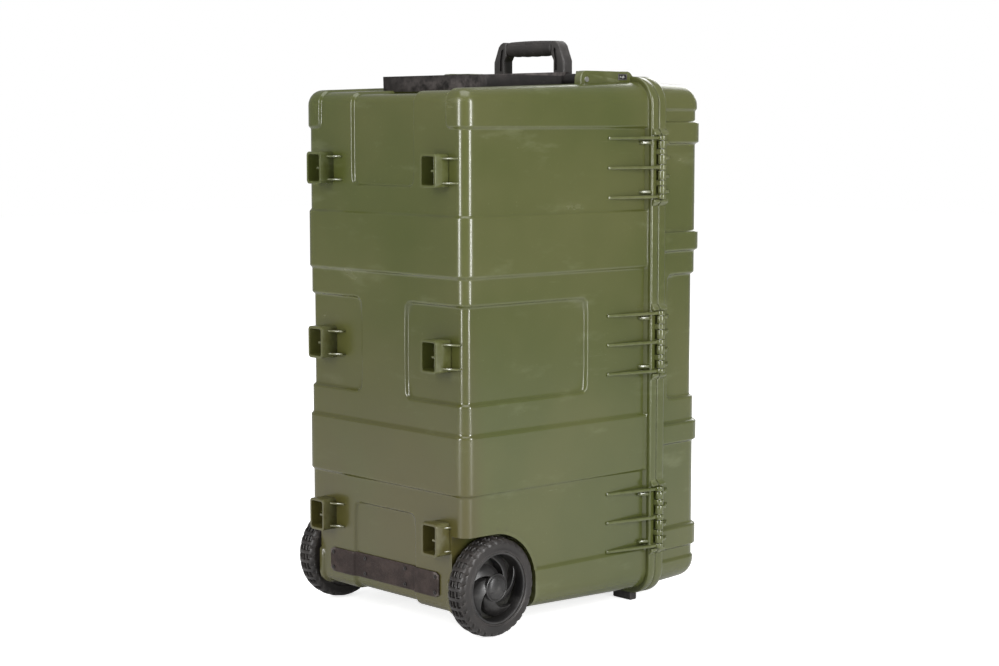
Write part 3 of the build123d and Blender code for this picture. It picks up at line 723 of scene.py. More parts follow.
lid_x = grid_lines(-CORE_W, CORE_W, (-LID_PANEL_X, LID_PANEL_X), 22.0)
band_edges = [edge for band in LID_BANDS for edge in band]
lid_z = grid_lines(
    MIDDLE - CORE_H, MIDDLE + CORE_H,
    (LID_CAP_LOW, *band_edges, LID_PANEL_LOW, LID_PANEL_HIGH, LID_CAP_HIGH), 22.0,
)
lid_outside = wall_rows(LID_TOP, LID_FLANGE + 4.5, 1, 26.0, (LID_PANEL_Y,), 14.0)
lid_flange = [
    (wall_out + 4.6, LID_FLANGE, 0, 0, 0),
    (flange_out - 3.0, LID_FLANGE, 0, 0, 0),
    (flange_out - 1.4, LID_FLANGE - 0.5, 0, 0, 0),
    (flange_out - 0.4, LID_FLANGE - 1.5, 0, 0, 0),
    (flange_out, LID_FLANGE - 3.2, 0, 0, 0),
    (flange_out, PARTING + 2.2, 0, 0, 0),
    (flange_out - 0.4, PARTING + 1.0, 0, 0, 0),
    (flange_out - 1.5, PARTING + 0.2, 0, 0, 0),
    (wall_out + 6.5, PARTING + 0.2, 0, 0, 0),
    (wall_out + 6.4, PARTING + 7.5, 0, 0, 0),
    (wall_out + 1.6, PARTING + 7.5, 0, 0, 0),
    (wall_out + 1.5, PARTING + 0.2, 0, 0, 0),
    (wall_out - 3.6, PARTING + 0.2, 0, 0, 0),
    (wall_out - 4.8, PARTING + 1.4, 0, 0, 0),
    (wall_out - 5.0, LID_FLANGE - 4, 0, 0, 0),
]
lid_shell = case_half(
    "lid_shell_moulding",
    lid_x,
    lid_z,
    [*lid_outside, *lid_flange, *inner_rows(lid_outside, WALL, 1)],
    lid_relief,
)
place_piece(lid_shell, "lid", olive, "shell_green", "lid_shell")

# Stacking feet: six hollow rectangular feet moulded on the base's bottom, each with a rib
# inside it and thin gussets at its sides, where the wall goes on.


def join(name, pieces, smooth=40.0):
    """Several meshes as one object."""
    mesh = bmesh.new()
    for piece in pieces:
        mesh.from_mesh(piece.data)
        bpy.data.objects.remove(piece)
    return mesh_object(name, mesh, smooth)


def soften(thing, width, angle=40.0, parts=2):
    """Rounds the edges of a mesh that are sharper than an angle."""
    mesh = bmesh.new()
    mesh.from_mesh(thing.data)
    bmesh.ops.dissolve_limit(
        mesh, angle_limit=radians(0.5), verts=mesh.verts, edges=mesh.edges
    )
    sharp = [e for e in mesh.edges if e.is_manifold and e.calc_face_angle(0) > radians(angle)]
    bmesh.ops.bevel(
        mesh, geom=sharp, offset=width * MM, segments=parts, profile=0.5, affect="EDGES",
        clamp_overlap=True,
    )
    bmesh.ops.triangulate(mesh, faces=[f for f in mesh.faces if len(f.verts) > 4])
    name = thing.name
    bpy.data.objects.remove(thing)
    made = mesh_object("softened", mesh, smooth=35.0)
    made.name = name
    return made


FOOT_X, FOOT_ZS, FOOT_TIP = 135.0, (152.0, 426.5, 700.0), -270.0
GUSSET_DZ, GUSSET_T = 18.0, 3.0


def stacking_foot(x, z):
    outer = prism("foot", rounded_box(35, 50, 6, at=(x, z)), "y", FOOT_TIP, -240.0)
    hollow = prism("hollow", rounded_box(27.4, 42.4, 3.2, at=(x, z)), "y", -280.0, -246.5)
    carve(outer, hollow)
    rib = prism(
        "rib", [(x + 4.5, z - 1.6), (x + 15.5, z - 1.6), (x + 15.5, z + 1.6), (x + 4.5, z + 1.6)],
        "y", FOOT_TIP + 2.5, -245.0,
    )
    carve(outer, rib, "UNION")
    pieces = [soften(outer, 0.95, angle=50)]
    for side in (-1, 1):
        near, out = x + side * 16.0, x + side * 39.0
        for dz in (-GUSSET_DZ, GUSSET_DZ):
            if side * x > 0 and z + dz < 160.0:
                out = x + side * 21.0
            outline = [(near, -239.0), (out, -239.0), (out, -246.6), (near, -258.0)]
            low, high = z + dz - GUSSET_T / 2, z + dz + GUSSET_T / 2
            pieces.append(prism("gusset", outline, "z", low, high, bevel=0.9))
    return pieces


feet = []
for x in (-FOOT_X, FOOT_X):
    for z in FOOT_ZS:
        feet += stacking_foot(x, z)
feet = join("stacking_feet", feet)
place_piece(feet, "base", olive, "shell_green", "base_shell")

# Hinges: three rows of moulded knuckles on one steel rod each, with long tapered ribs down
# the base's wall, short ones on the lid, and a wedge of the flange above and below.
HINGE_X, KNUCKLE_R, HINGE_ZS = 218.5, 6.4, (142.0, 424.0, 700.0)
NECK_X = 203.0
FLANGE_X = CORE_W + flange_out
BASE_KNUCKLES = ((-49.5, -42.5), (-28.5, -20.5), (-4.0, 4.0), (20.5, 28.5), (42.5, 49.5))
LID_KNUCKLES = ((-41.5, -29.5), (-19.5, -5.0), (5.0, 19.5), (29.5, 41.5))


def hinge_half(spans, ribs, rib_line, facing):
    """Knuckles, ribs and wedges of one half; facing is -1 on the base and 1 on the lid."""
    made = []
    barrel = disc(KNUCKLE_R, 24, start=-pi / 2, end=pi)
    knuckle = [(NECK_X, KNUCKLE_R), *[(HINGE_X + a, -b) for a, b in barrel]]
    knuckle += [(HINGE_X - KNUCKLE_R, 0.6), (NECK_X, 0.6)]
    knuckle = [(x, PARTING + facing * y) for x, y in knuckle]
    root, top = FLANGE_X - 1.5, HINGE_X - 1.6
    for zc in HINGE_ZS:
        for low, high in spans:
            made.append(prism("knuckle", knuckle, "z", zc + low, zc + high, bevel=0.7))
        for dz in ribs:
            made.append(prism("rib", rib_line, "z", zc + dz - 2.4, zc + dz + 2.4, bevel=1.15))
        for end in (-1, 1):
            wedge = [(root, 50.4), (top, 50.4), (top, 54.2), (root, 62.0)]
            wedge = [(x, zc + end * z) for x, z in wedge]
            near, far = PARTING + facing * 0.6, PARTING + facing * (14.4 if facing < 0 else 17.4)
            low, high = sorted((near, far))
            made.append(prism("wedge", wedge, "y", low, high, bevel=0.9))
    return made


base_rib = [
    (192.0, 47.0), (198.4, 45.5), (199.6, 52.0), (217.2, 129.5), (218.5, 140.5), (199.5, 140.5),
    (197.0, 129.5),
]
base_hinges = hinge_half(BASE_KNUCKLES, (-46.0, 0.0, 46.0), base_rib, -1)
for zc in HINGE_ZS:
    for dz in (-38.5, 38.5):  # short fins behind the base's flange
        fin = [(196.0, 113.0), (204.5, 115.0), (210.0, 129.0), (209.0, 134.0), (198.0, 134.0)]
        base_hinges.append(prism("fin", fin, "z", zc + dz - 2.4, zc + dz + 2.4, bevel=0.8))
base_hinges = join("base_hinge_ribs", base_hinges)
place_piece(base_hinges, "base", olive, "shell_green", "base_shell")

lid_rib = [
    (194.0, 186.0), (200.6, 184.5), (215.6, 165.0), (218.5, 151.5), (199.5, 151.5), (197.5, 165.0),
]
lid_hinges = join(
    "lid_hinge_ribs", hinge_half(LID_KNUCKLES, (-38.5, -14.5, 14.5, 38.5), lid_rib, 1)
)
place_piece(lid_hinges, "lid", olive, "shell_green", "lid_shell")

# Handle brackets: the blocks at both sides of the top end that the tow handle turns in, with
# a window each for its release button, lugs for both handles, and two padlock lugs a flange.
TOW_Y, TOW_Z = 32.0, 836.5
GRIP_Y, GRIP_Z = 74.0, 835.5
BUTTON_Y, BUTTON_Z = 113.0, 841.0


def lug_outline(y, z, radius, root):
    """A lug with a round top, seen along X."""
    top = disc(radius, 14, (y, z), 0.0, pi)
    return [(y + radius, root), *top, (y - radius, root)]


brackets = []
for side in (-1, 1):
    cheek = [
        (19.0, 812.0), (19.0, 838.5), (20.6, 843.5), (24.2, 847.6), (29.0, 849.7), (34.0, 850.0),
        (127.0, 850.0), (131.0, 848.2), (139.5, 841.2), (139.5, 828.0), (122.0, 820.0),
    ]
    block = sideways("cheek", cheek, side, 124.0, 163.0, bevel=1.5, parts=3)
    room = [(10.0, 800.0), (48.0, 800.0), (48.0, 860.0), (10.0, 860.0)]
    carve(block, sideways("room", room, side, 110.0, 150.0))
    window = rounded_box(20.2, 9.8, 1.0, at=(BUTTON_Y, BUTTON_Z))
    carve(block, sideways("window", window, side, 139.0, 166.0))
    brackets.append(block)
    for inner, outer, y, z, radius, root in (
        (91.0, 98.0, TOW_Y, TOW_Z, 11.8, 812.0),
        (49.0, 56.0, GRIP_Y, GRIP_Z, 8.8, 814.0),
        (82.0, 89.0, GRIP_Y, GRIP_Z, 8.8, 814.0),
    ):
        line = lug_outline(y, z, radius, root)
        brackets.append(sideways("lug", line, side, inner, outer, bevel=0.9))
brackets = join("handle_brackets", brackets)
place_piece(brackets, "base", olive, "shell_green", "base_shell")

for body, node_name, low, high in (
    ("base", "base_shell", FLANGE_BACK, PARTING - 0.6),
    ("lid", "lid_shell", PARTING + 0.6, LID_FLANGE),
):
    lugs = []
    for z in (85.0, 769.0):
        lug = prism("lug", rounded_box(26.0, 24.0, 5.0, at=(-211.0, z)), "y", low, high)
        hole = prism("hole", disc(4.5, 28, (-214.0, z)), "y", low - 5, high + 5)
        lugs.append(soften(carve(lug, hole), 1.0, angle=50))
    lugs = join(body + "_padlock_lugs", lugs)
    place_piece(lugs, body, olive, "shell_green", node_name)

# Tow handle: a U-shaped frame in coarse black composite, folded down in its tray. Its two
# arms turn on steel pins in the brackets.
coarse, given, out = effect(
    "coarse composite",
    [
        ("Colour", "Color", (0.03, 0.03, 0.03, 1)),
        ("Fleck Colour", "Color", (0.1, 0.1, 0.1, 1)),
        ("Blotch Colour", "Color", (0.05, 0.04, 0.04, 1)),
        ("Flecks", "Float", 0.5),
        ("Scale", "Float", 300.0),
        ("Smooth", "Float", 0.5),
        ("Rough", "Float", 0.8),
    ],
    [("Colour", "Color"), ("Roughness", "Float"), ("Height", "Float")],
)
place = node(coarse, "ShaderNodeTexCoord").outputs["Object"]
grit = noise(coarse, place, given["Scale"], 5.0, 0.75)
streaky = noise(coarse, place, 55.0, 6.0, 0.75, stretch=(5.0, 1.0, 6.0))
blotches = sift(coarse, noise(coarse, place, 38.0, 5.0, 0.7), 0.38, 0.66)
flecks = times(coarse, sift(coarse, grit, 0.56, 0.70), sift(coarse, streaky, 0.42, 0.66))
coloured = mixed(coarse, blotches, given["Colour"], given["Blotch Colour"])
coloured = mixed(
    coarse, times(coarse, flecks, given["Flecks"]), coloured, given["Fleck Colour"]
)
coarse.links.new(coloured, out["Colour"])
coarse.links.new(graded(coarse, grit, given, 0.3, 0.7), out["Roughness"])
coarse.links.new(times(coarse, grit, times(coarse, streaky, 0.6), "ADD"), out["Height"])

tow_black = finish(
    "tow_handle_black",
    coarse,
    {
        "Colour": (0.005, 0.004, 0.0038, 1), "Fleck Colour": (0.12, 0.105, 0.10, 1),
        "Blotch Colour": (0.009, 0.0073, 0.0067, 1), "Flecks": 0.5, "Scale": 420.0,
        "Smooth": 0.5, "Rough": 0.78,
    },
    {"Specular IOR Level": 0.22},
    bump=0.5,
    depth=0.4,
    wear={"Worn Colour": (0.15, 0.13, 0.125, 1), "Wear": 0.5},
)
TOW_HALF, TOW_BAR, TOW_REACH, TOW_THICK = 120.0, 20.0, 177.0, 24.0
lean = radians(2.1)


def tow_point(x, reach, rise):
    """A point of the folded handle, which leans with the end wall: mm out from its axis."""
    y = TOW_Y - reach * cos(lean) - rise * sin(lean)
    z = TOW_Z - reach * sin(lean) + rise * cos(lean)
    return Vector((x * MM, y * MM, z * MM))


tow = bmesh.new()
corner = 9.0
outer_line = [(TOW_HALF, 0.0), (TOW_HALF, TOW_REACH - corner)]
outer_line += [
    (TOW_HALF - corner + corner * cos(a), TOW_REACH - corner + corner * sin(a))
    for a in (pi / 10, pi / 5, 3 * pi / 10, 2 * pi / 5)
]
outer_line += [(TOW_HALF - corner, TOW_REACH)]
hole_corner = 6.0
edge, end = TOW_HALF - TOW_BAR, TOW_REACH - TOW_BAR - 2
inner_line = [(edge, 0.0), (edge, end - hole_corner)]
inner_line += [
    (edge - hole_corner + hole_corner * cos(a), end - hole_corner + hole_corner * sin(a))
    for a in (pi / 10, pi / 5, 3 * pi / 10, 2 * pi / 5)
]
inner_line += [(edge - hole_corner, end)]
outer_line += [(-x, r) for x, r in reversed(outer_line)]
inner_line += [(-x, r) for x, r in reversed(inner_line)]
levels = []
for rise in (-TOW_THICK / 2, TOW_THICK / 2):
    levels.append(
        [[tow.verts.new(tow_point(x, r, rise)) for x, r in line]
         for line in (outer_line, inner_line)]
    )
count = len(outer_line)
for i in range(count - 1):
    (a, b), (c, d) = levels
    tow.faces.new((a[i], a[i + 1], b[i + 1], b[i]))
    tow.faces.new((c[i], d[i], d[i + 1], c[i + 1]))
    tow.faces.new((a[i], c[i], c[i + 1], a[i + 1]))
    tow.faces.new((b[i], b[i + 1], d[i + 1], d[i]))
for i in (0, count - 1):
    tow.faces.new((levels[0][0][i], levels[0][1][i], levels[1][1][i], levels[1][0][i]))
bmesh.ops.recalc_face_normals(tow, faces=tow.faces)
tow_frame = mesh_object("tow_frame", tow)
for side in (-1, 1):
    for radius, inner, outer in ((12.0, 100.0, 120.0), (9.0, 118.0, 146.0)):
        knob = sideways("knob", disc(radius, 40, (TOW_Y, TOW_Z)), side, inner, outer)
        carve(tow_frame, knob, "UNION")
tow_frame = soften(tow_frame, 2.6, angle=45, parts=3)
place_piece(tow_frame, "tow_handle", tow_black, "black_plastic", "tow_handle")

# Release buttons: a steel tongue in a black bezel in each bracket's window, on a spring.
brushed, given, out = effect(
    "bare metal",
    [
        ("Colour", "Color", (0.6, 0.6, 0.58, 1)),
        ("Stain Colour", "Color", (0.3, 0.27, 0.24, 1)),
        ("Stains", "Float", 0.3),
        ("Smooth", "Float", 0.25),
        ("Rough", "Float", 0.5),
    ],
    [("Colour", "Color"), ("Roughness", "Float"), ("Height", "Float")],
)
place = node(brushed, "ShaderNodeTexCoord").outputs["Object"]
drawn = noise(brushed, place, 300.0, 4.0, 0.6, stretch=(1.0, 6.0, 0.3))
spots = sift(brushed, noise(brushed, place, 160.0, 5.0, 0.7), 0.5, 0.72)
coloured = mixed(
    brushed, times(brushed, spots, given["Stains"]), given["Colour"], given["Stain Colour"]
)
brushed.links.new(coloured, out["Colour"])
brushed.links.new(graded(brushed, times(brushed, spots, drawn), given), out["Roughness"])
brushed.links.new(drawn, out["Height"])
steel = finish(
    "plain_steel",
    brushed,
    {"Colour": (0.34, 0.34, 0.32, 1), "Stains": 0.6, "Smooth": 0.35, "Rough": 0.6},
    {"Metallic": 1.0},
    bump=0.1,
    depth=0.05,
)
black_oxide = finish(
    "black_oxide_steel",
    brushed,
    {"Colour": (0.03, 0.027, 0.026, 1), "Stain Colour": (0.09, 0.06, 0.045, 1), "Smooth": 0.35,
     "Rough": 0.6},
    {"Metallic": 0.6},
    bump=0.15,
    depth=0.05,
)
satin_black = finish(
    "satin_black_plastic",
    moulded,
    {
        "Colour": (0.022, 0.020, 0.019, 1), "Cloud Colour": (0.032, 0.029, 0.027, 1),
        "Cloud Scale": 14.0, "Scuff Colour": (0.13, 0.12, 0.115, 1), "Scuffs": 0.35, "Dust": 0.5,
        "Smooth": 0.42, "Rough": 0.62, "Grain": 1500.0,
    },
    {"Specular IOR Level": 0.35},
    bump=0.35,
    depth=0.25,
    wear={"Worn Colour": (0.14, 0.13, 0.125, 1), "Wear": 0.55,
          # crease tone: inward corners of the satin black parts tinted darker
          "Crease Tone Colour": (0.012, 0.011, 0.01, 1)},
)
bezels = []
for side in (-1, 1):
    frame_line = rounded_box(20.0, 9.6, 1.0, at=(BUTTON_Y, BUTTON_Z))
    bezel = sideways("bezel", frame_line, side, 151.0, 163.3)
    slot_line = rounded_box(14.4, 5.8, 0.8, at=(BUTTON_Y, BUTTON_Z))
    carve(bezel, sideways("slot", slot_line, side, 140.0, 170.0))
    bezels.append(soften(bezel, 0.4, angle=50))
bezels = join("release_bezel_frames", bezels)
place_piece(bezels, "base", satin_black, "black_plastic", "release_bezels")
for side, word in ((-1, "left"), (1, "right")):
    outline = rounded_box(13.4, 4.8, 0.6, at=(BUTTON_Y, BUTTON_Z))
    tongue = sideways("tongue", outline, side, 145.0, 161.4)
    for shift in (-3.6, 0.0, 3.6):
        groove = rounded_box(1.4, 8.0, 0.3, at=(BUTTON_Y + shift, BUTTON_Z))
        carve(tongue, sideways("groove", groove, side, 159.8, 164.0))
    tongue = soften(tongue, 0.35, angle=50)
    tongue.name = "release_tongue_" + word
    body = "release_button_" + word
    place_piece(tongue, body, steel, "steel", body)

# Carry handle: two moulded black legs that fold down on steel pins, each with a long slot
# and two small holes for the grip's screws, and a barrel grip moulded over a bar between them.
LEG = [
    (57.0, 835.5), (57.0, 869.0), (52.6, 876.0), (51.9, 878.0), (51.9, 899.0), (60.0, 899.6),
    (66.0, 896.8), (70.6, 892.0), (81.0, 867.5), (81.0, 835.5),
]
carry_legs = []
for side in (-1, 1):
    line = [(side * x, z) for x, z in LEG]
    leg = prism("leg", line, "y", GRIP_Y - 10, GRIP_Y + 10)
    carve(leg, sideways("foot", disc(10.0, 32, (GRIP_Y, GRIP_Z)), side, 57.0, 81.0), "UNION")
    leg = soften(leg, 1.8, angle=28, parts=3)
    for y_low, y_high in ((GRIP_Y - 11, GRIP_Y - 7), (GRIP_Y + 7, GRIP_Y + 11)):
        slot = [(61.5, 853.0), (66.5, 853.0), (66.5, 869.5), (63.5, 886.0), (58.6, 889.5),
                (58.0, 884.0), (61.5, 868.0)]
        carve(leg, prism("slot", [(side * x, z) for x, z in slot], "y", y_low, y_high))
        for x in (61.0, 68.0):
            hole = rounded_box(4.0, 4.0, 0.6, parts=2, at=(side * x, 847.0))
            carve(leg, prism("hole", hole, "y", y_low, y_high))
    carry_legs.append(leg)
carry_legs = join("carry_handle_legs", carry_legs, smooth=35)
place_piece(carry_legs, "carry_handle", satin_black, "black_plastic", "carry_handle")

GRIP_BAR_Z, GRIP_HALF, GRIP_R = 888.0, 51.8, 12.9
grip = bmesh.new()
rings = []
columns, around = 104, 72
for i in range(columns + 1):
    x = -GRIP_HALF + 2 * GRIP_HALF * i / columns
    end = min(1.0, (GRIP_HALF - abs(x)) / 3.0)
    base_r = GRIP_R - 1.1 * (x / GRIP_HALF) ** 2 - 1.8 * (1 - end) ** 2
    ring = []
    for k in range(around):
        angle = 2 * pi * k / around
        bearing = degrees(angle)  # 0 faces +Y, 90 is up, 180 faces -Y
        radius = base_r
        for centre in (-27.0, 0.0, 27.0):  # sunken dashes in the upper faces
            off = min(abs(bearing - 145), abs(bearing - 35)) * 0.22
            dash = min(9.0 - abs(x - centre), 1.0 - off)
            radius -= 0.9 * ease(dash, 1.2)
        for centre in (-33.0, -11.0, 11.0, 33.0):  # slanting grooves between the fingers
            under = abs(((bearing - 270 + 180) % 360) - 180)
            slant = abs(x - centre - 0.10 * (90 - under)) if under < 90 else 99
            radius -= 0.8 * ease(1.1 - slant, 1.4) * ease(70 - under, 30)
        fingers = 0.5 + 0.5 * cos(2 * pi * x / 22.0)
        radius -= 0.5 * fingers * max(0.0, -sin(angle))
        ring.append(
            grip.verts.new(
                (x * MM, (GRIP_Y + radius * cos(angle)) * MM,
                 (GRIP_BAR_Z + radius * sin(angle)) * MM)
            )
        )
    rings.append(ring)
for a, b in zip(rings, rings[1:]):
    for k in range(around):
        m = (k + 1) % around
        grip.faces.new((a[k], b[k], b[m], a[m]))
grip.faces.new(rings[0])
grip.faces.new(rings[-1][::-1])
bmesh.ops.recalc_face_normals(grip, faces=grip.faces)
grip = mesh_object("carry_grip_barrel", grip)
soft_black = finish(
    "soft_black_rubber",
    moulded,
    {
        "Colour": (0.016, 0.014, 0.0135, 1), "Cloud Colour": (0.024, 0.021, 0.0195, 1),
        "Cloud Scale": 20.0, "Scuff Colour": (0.11, 0.10, 0.095, 1), "Scuffs": 0.25,
        "Dust": 0.55, "Smooth": 0.6, "Rough": 0.8, "Grain": 1300.0,
    },
    {"Specular IOR Level": 0.3},
    bump=0.45,
    depth=0.3,
    wear={"Worn Colour": (0.12, 0.11, 0.105, 1), "Wear": 0.4},
)
place_piece(grip, "carry_handle", soft_black, "black_rubber", "carry_grip")

# Tyres: solid rubber tyres with rows of square pockets between cross ribs, and slanting
# grooves over both shoulders. Each is moulded on its hub.
TREAD_RIBS, TYRE_R, RIM_R = 31, 75.8, 55.5
TYRE_IN, TYRE_OUT = 161.2, 198.8
HALF_TYRE = (TYRE_OUT - TYRE_IN) / 2


def tread_depth(across, phase):
    """How deep the tread is cut: across is -1 to 1 over the width, phase is in ribs."""
    side = abs(across)
    place = phase % 1.0
    if side < 0.62:
        between = ease(0.30 - abs(place - 0.55), 0.14)
        pocket = min(abs(across - column) for column in (-0.42, 0.0, 0.42))
        return 3.6 * between * ease(0.15 - pocket, 0.07) + 0.5 * between
    place = (phase + 0.9 * (side - 0.62)) % 1.0
    groove = ease(0.16 - abs(place - 0.55), 0.14)
    return 2.6 * groove * ease(1.32 - side, 0.2) * ease(side - 0.66, 0.1)


def tyre_profile():
    """Half sections from bead to bead: (x from the middle, radius, across, share of the cut)."""
    points = []
    for radius in (RIM_R, 56.6, 58.2, 60.4, 63.0, 66.0):
        bulge = -0.8 if radius < 58 else 0.0
        points.append((HALF_TYRE + bulge - 0.5 * (radius > 60), radius, 1.5, 0.0))
    for i in range(1, 6):
        angle = i * pi / 2 / 6
        points.append(
            (HALF_TYRE - 9.0 + 8.5 * cos(angle), 66.6 + 7.6 * sin(angle), 1.32 - 0.14 * i,
             min(1.0, i / 2.0))
        )
    for across in (0.58, 0.54, 0.50, 0.46, 0.40, 0.34, 0.29, 0.25, 0.21, 0.17, 0.13, 0.08):
        points.append(
            (across * HALF_TYRE, TYRE_R - 1.6 * (across / 0.62) ** 2, across, 1.0)
        )
    points.append((0.0, TYRE_R, 0.0, 1.0))
    mirrored = [(-x, r, -a, s) for x, r, a, s in reversed(points[:-1])]
    return points + mirrored


tyre_rubber = finish(
    "tyre_rubber",
    moulded,
    {
        "Colour": (0.011, 0.0095, 0.009, 1), "Cloud Colour": (0.019, 0.016, 0.0145, 1),
        "Cloud Scale": 22.0, "Scuff Colour": (0.12, 0.10, 0.09, 1), "Scuffs": 0.35, "Dust": 0.6,
        "Smooth": 0.36, "Rough": 0.55, "Grain": 1200.0,
    },
    {"Specular IOR Level": 0.35},
    bump=0.4,
    depth=0.3,
    wear={"Worn Colour": (0.13, 0.115, 0.105, 1), "Wear": 0.5},
)
AROUND = TREAD_RIBS * 10


def turned(name, line, parts=96, side=1, smooth=38, cut=None):
    """A closed ring turned about the wheel's axis from a line of (x, radius), less a cut that
    may depend on the point's number in the line and round the axis."""
    mesh = bmesh.new()
    loops = []
    for number, (x, radius) in enumerate(line):
        ring = []
        for k in range(parts):
            angle = 2 * pi * k / parts
            r = radius - (cut(number, k) if cut else 0.0)
            y, z = WHEEL_Y + r * cos(angle), WHEEL_Z + r * sin(angle)
            ring.append(mesh.verts.new((side * x * MM, y * MM, z * MM)))
        loops.append(ring)
    for a, b in zip(loops, [*loops[1:], loops[0]]):
        for k in range(parts):
            m = (k + 1) % parts
            mesh.faces.new((a[k], a[m], b[m], b[k]))
    bmesh.ops.recalc_face_normals(mesh, faces=mesh.faces)
    return mesh_object(name, mesh, smooth)


profile = tyre_profile()


def tyre_cut(number, k):
    """How deep the tyre is cut at one point of its profile and one step round it, in mm."""
    across, share = profile[number][2:]
    return share * tread_depth(across, TREAD_RIBS * k / AROUND)


for side, word in ((-1, "left"), (1, "right")):
    line = [(180.0 + x, radius) for x, radius, _, _ in profile]
    tyre = turned("tyre_" + word, line, AROUND, side, smooth=35, cut=tyre_cut)
    place_piece(tyre, "wheel_" + word, tyre_rubber, "tyre_black", "wheel_tyre_" + word)

# Hubs: black moulded dishes with five broad blades that swirl out from the middle to the rim,
# and a domed cap with curved lips snapped over the axle's end.
HUB_DARK = finish(
    "hub_black_plastic",
    moulded,
    {
        "Colour": (0.009, 0.0085, 0.0085, 1), "Cloud Colour": (0.014, 0.013, 0.0125, 1),
        "Cloud Scale": 18.0, "Scuff Colour": (0.12, 0.115, 0.11, 1), "Scuffs": 0.3, "Dust": 0.4,
        "Smooth": 0.36, "Rough": 0.55, "Grain": 1500.0,
    },
    {"Specular IOR Level": 0.35},
    bump=0.3,
    depth=0.2,
    wear={"Worn Colour": (0.13, 0.125, 0.12, 1), "Wear": 0.4},
)


def blade(side, start, twist=1.25):
    """One broad curved blade from the hub's middle to its rim, its face sloping inwards."""
    mesh = bmesh.new()
    rows = 12
    rings = []
    for i in range(rows + 1):
        t = i / rows
        radius = 19.0 + (50.2 - 19.0) * t
        middle = start + twist * t
        half = 0.52 - 0.20 * t
        top = 193.5 - 9.0 * t ** 1.3
        low = 170.5
        section = []
        for share, x in ((-1.0, low), (-1.0, top - 7.0), (-0.86, top - 5.2), (0.2, top - 1.0),
                         (0.86, top), (1.0, top - 0.8), (1.0, low)):
            angle = middle + half * share
            section.append(
                mesh.verts.new(
                    (side * x * MM, (WHEEL_Y + radius * cos(angle)) * MM,
                     (WHEEL_Z + radius * sin(angle)) * MM)
                )
            )
        rings.append(section)
    count = len(rings[0])
    for a, b in zip(rings, rings[1:]):
        for k in range(count):
            m = (k + 1) % count
            mesh.faces.new((a[k], a[m], b[m], b[k]))
    mesh.faces.new(rings[0])
    mesh.faces.new(rings[-1][::-1])
    bmesh.ops.recalc_face_normals(mesh, faces=mesh.faces)
    return mesh_object("blade", mesh, 35)


BLADES = 5
for side, word in ((-1, "left"), (1, "right")):
    rim = turned(
        "rim",
        [
            (163.2, 55.5), (163.2, 51.2), (164.4, 50.2), (171.0, 49.6), (171.0, 16.2),
            (162.4, 15.8), (161.8, 15.2), (161.8, 9.0), (187.6, 9.0), (187.8, 10.0),
            (187.8, 19.0), (186.6, 21.0), (179.0, 21.5), (175.0, 24.0), (174.2, 30.0),
            (174.2, 46.6), (176.5, 48.8), (190.0, 50.0), (196.2, 50.8), (197.4, 51.6),
            (197.8, 52.8), (197.6, 54.4), (196.6, 55.5),
        ],
        side=side,
    )
    parts = [rim]
    for k in range(BLADES):
        parts.append(blade(side, 2 * pi * k / BLADES + 0.25))
    hub = join("hub_" + word, parts, smooth=35)
    place_piece(hub, "wheel_" + word, HUB_DARK, "black_plastic", "wheel_hub_" + word)
    cap = turned(
        "cap",
        [
            (188.2, 20.2), (188.2, 21.2), (189.0, 21.9), (192.0, 21.9), (193.4, 21.2),
            (194.0, 19.8), (193.6, 18.9), (194.6, 18.2), (196.2, 15.0), (197.4, 10.0),
            (198.0, 5.0), (198.15, 0.4), (196.0, 0.3), (195.2, 8.0), (192.0, 14.5),
            (188.2, 16.5),
        ],
        side=side,
    )
    lips = [cap]
    for k in range(3):  # curved lips on the dome
        centre_angle = 2 * pi * k / 3 + 0.5
        cy, cz = WHEEL_Y + 19.0 * cos(centre_angle), WHEEL_Z + 19.0 * sin(centre_angle)
        toward = centre_angle + pi
        arc = disc(17.5, 18, (cy, cz), toward - 0.86, toward + 0.86)
        arc_in = disc(16.0, 18, (cy, cz), toward - 0.80, toward + 0.80)
        lips.append(sideways("lip", arc + arc_in[::-1], side, 191.0, 197.6, bevel=0.35))
    cap = join("hub_dome_" + word, lips, smooth=35)
    place_piece(cap, "wheel_" + word, HUB_DARK, "black_plastic", "hub_cap_" + word)

# Rub strip: a coarse plastic strip that protects the base's bottom edge as the case goes up
# steps. It dips into the channel and is held by eight black screws.
strip_black = finish(
    "rub_strip_composite",
    coarse,
    {
        "Colour": (0.016, 0.010, 0.0085, 1), "Fleck Colour": (0.10, 0.08, 0.072, 1),
        "Blotch Colour": (0.030, 0.020, 0.017, 1), "Flecks": 0.7, "Scale": 300.0, "Smooth": 0.55,
        "Rough": 0.85,
    },
    {"Specular IOR Level": 0.25},
    bump=0.8,
    depth=0.5,
    wear={"Worn Colour": (0.15, 0.13, 0.12, 1), "Wear": 0.6},
)
STRIP_LOW, STRIP_HIGH, STRIP_HALF, STRIP_T = 59.0, 97.5, 130.0, 3.0
strip = bmesh.new()
columns = grid_lines(-STRIP_HALF, STRIP_HALF, (-CHANNEL_HALF, CHANNEL_HALF), 8.0)
heights = [STRIP_LOW + (STRIP_HIGH - STRIP_LOW) * i / 10 for i in range(11)]


def strip_face(depth):
    rows = []
    for z in heights:
        row = []
        for x in columns:
            dip = CHANNEL_IN * ease(CHANNEL_HALF - abs(x))
            near_end = max(0.0, 4.0 - (STRIP_HALF - abs(x)))
            trim = 4.0 - (16.0 - near_end ** 2) ** 0.5 if near_end else 0.0
            zz = min(max(z, STRIP_LOW + trim), STRIP_HIGH - trim)
            row.append(strip.verts.new((x * MM, (BASE_BOTTOM + dip - depth) * MM, zz * MM)))
        rows.append(row)
    return rows


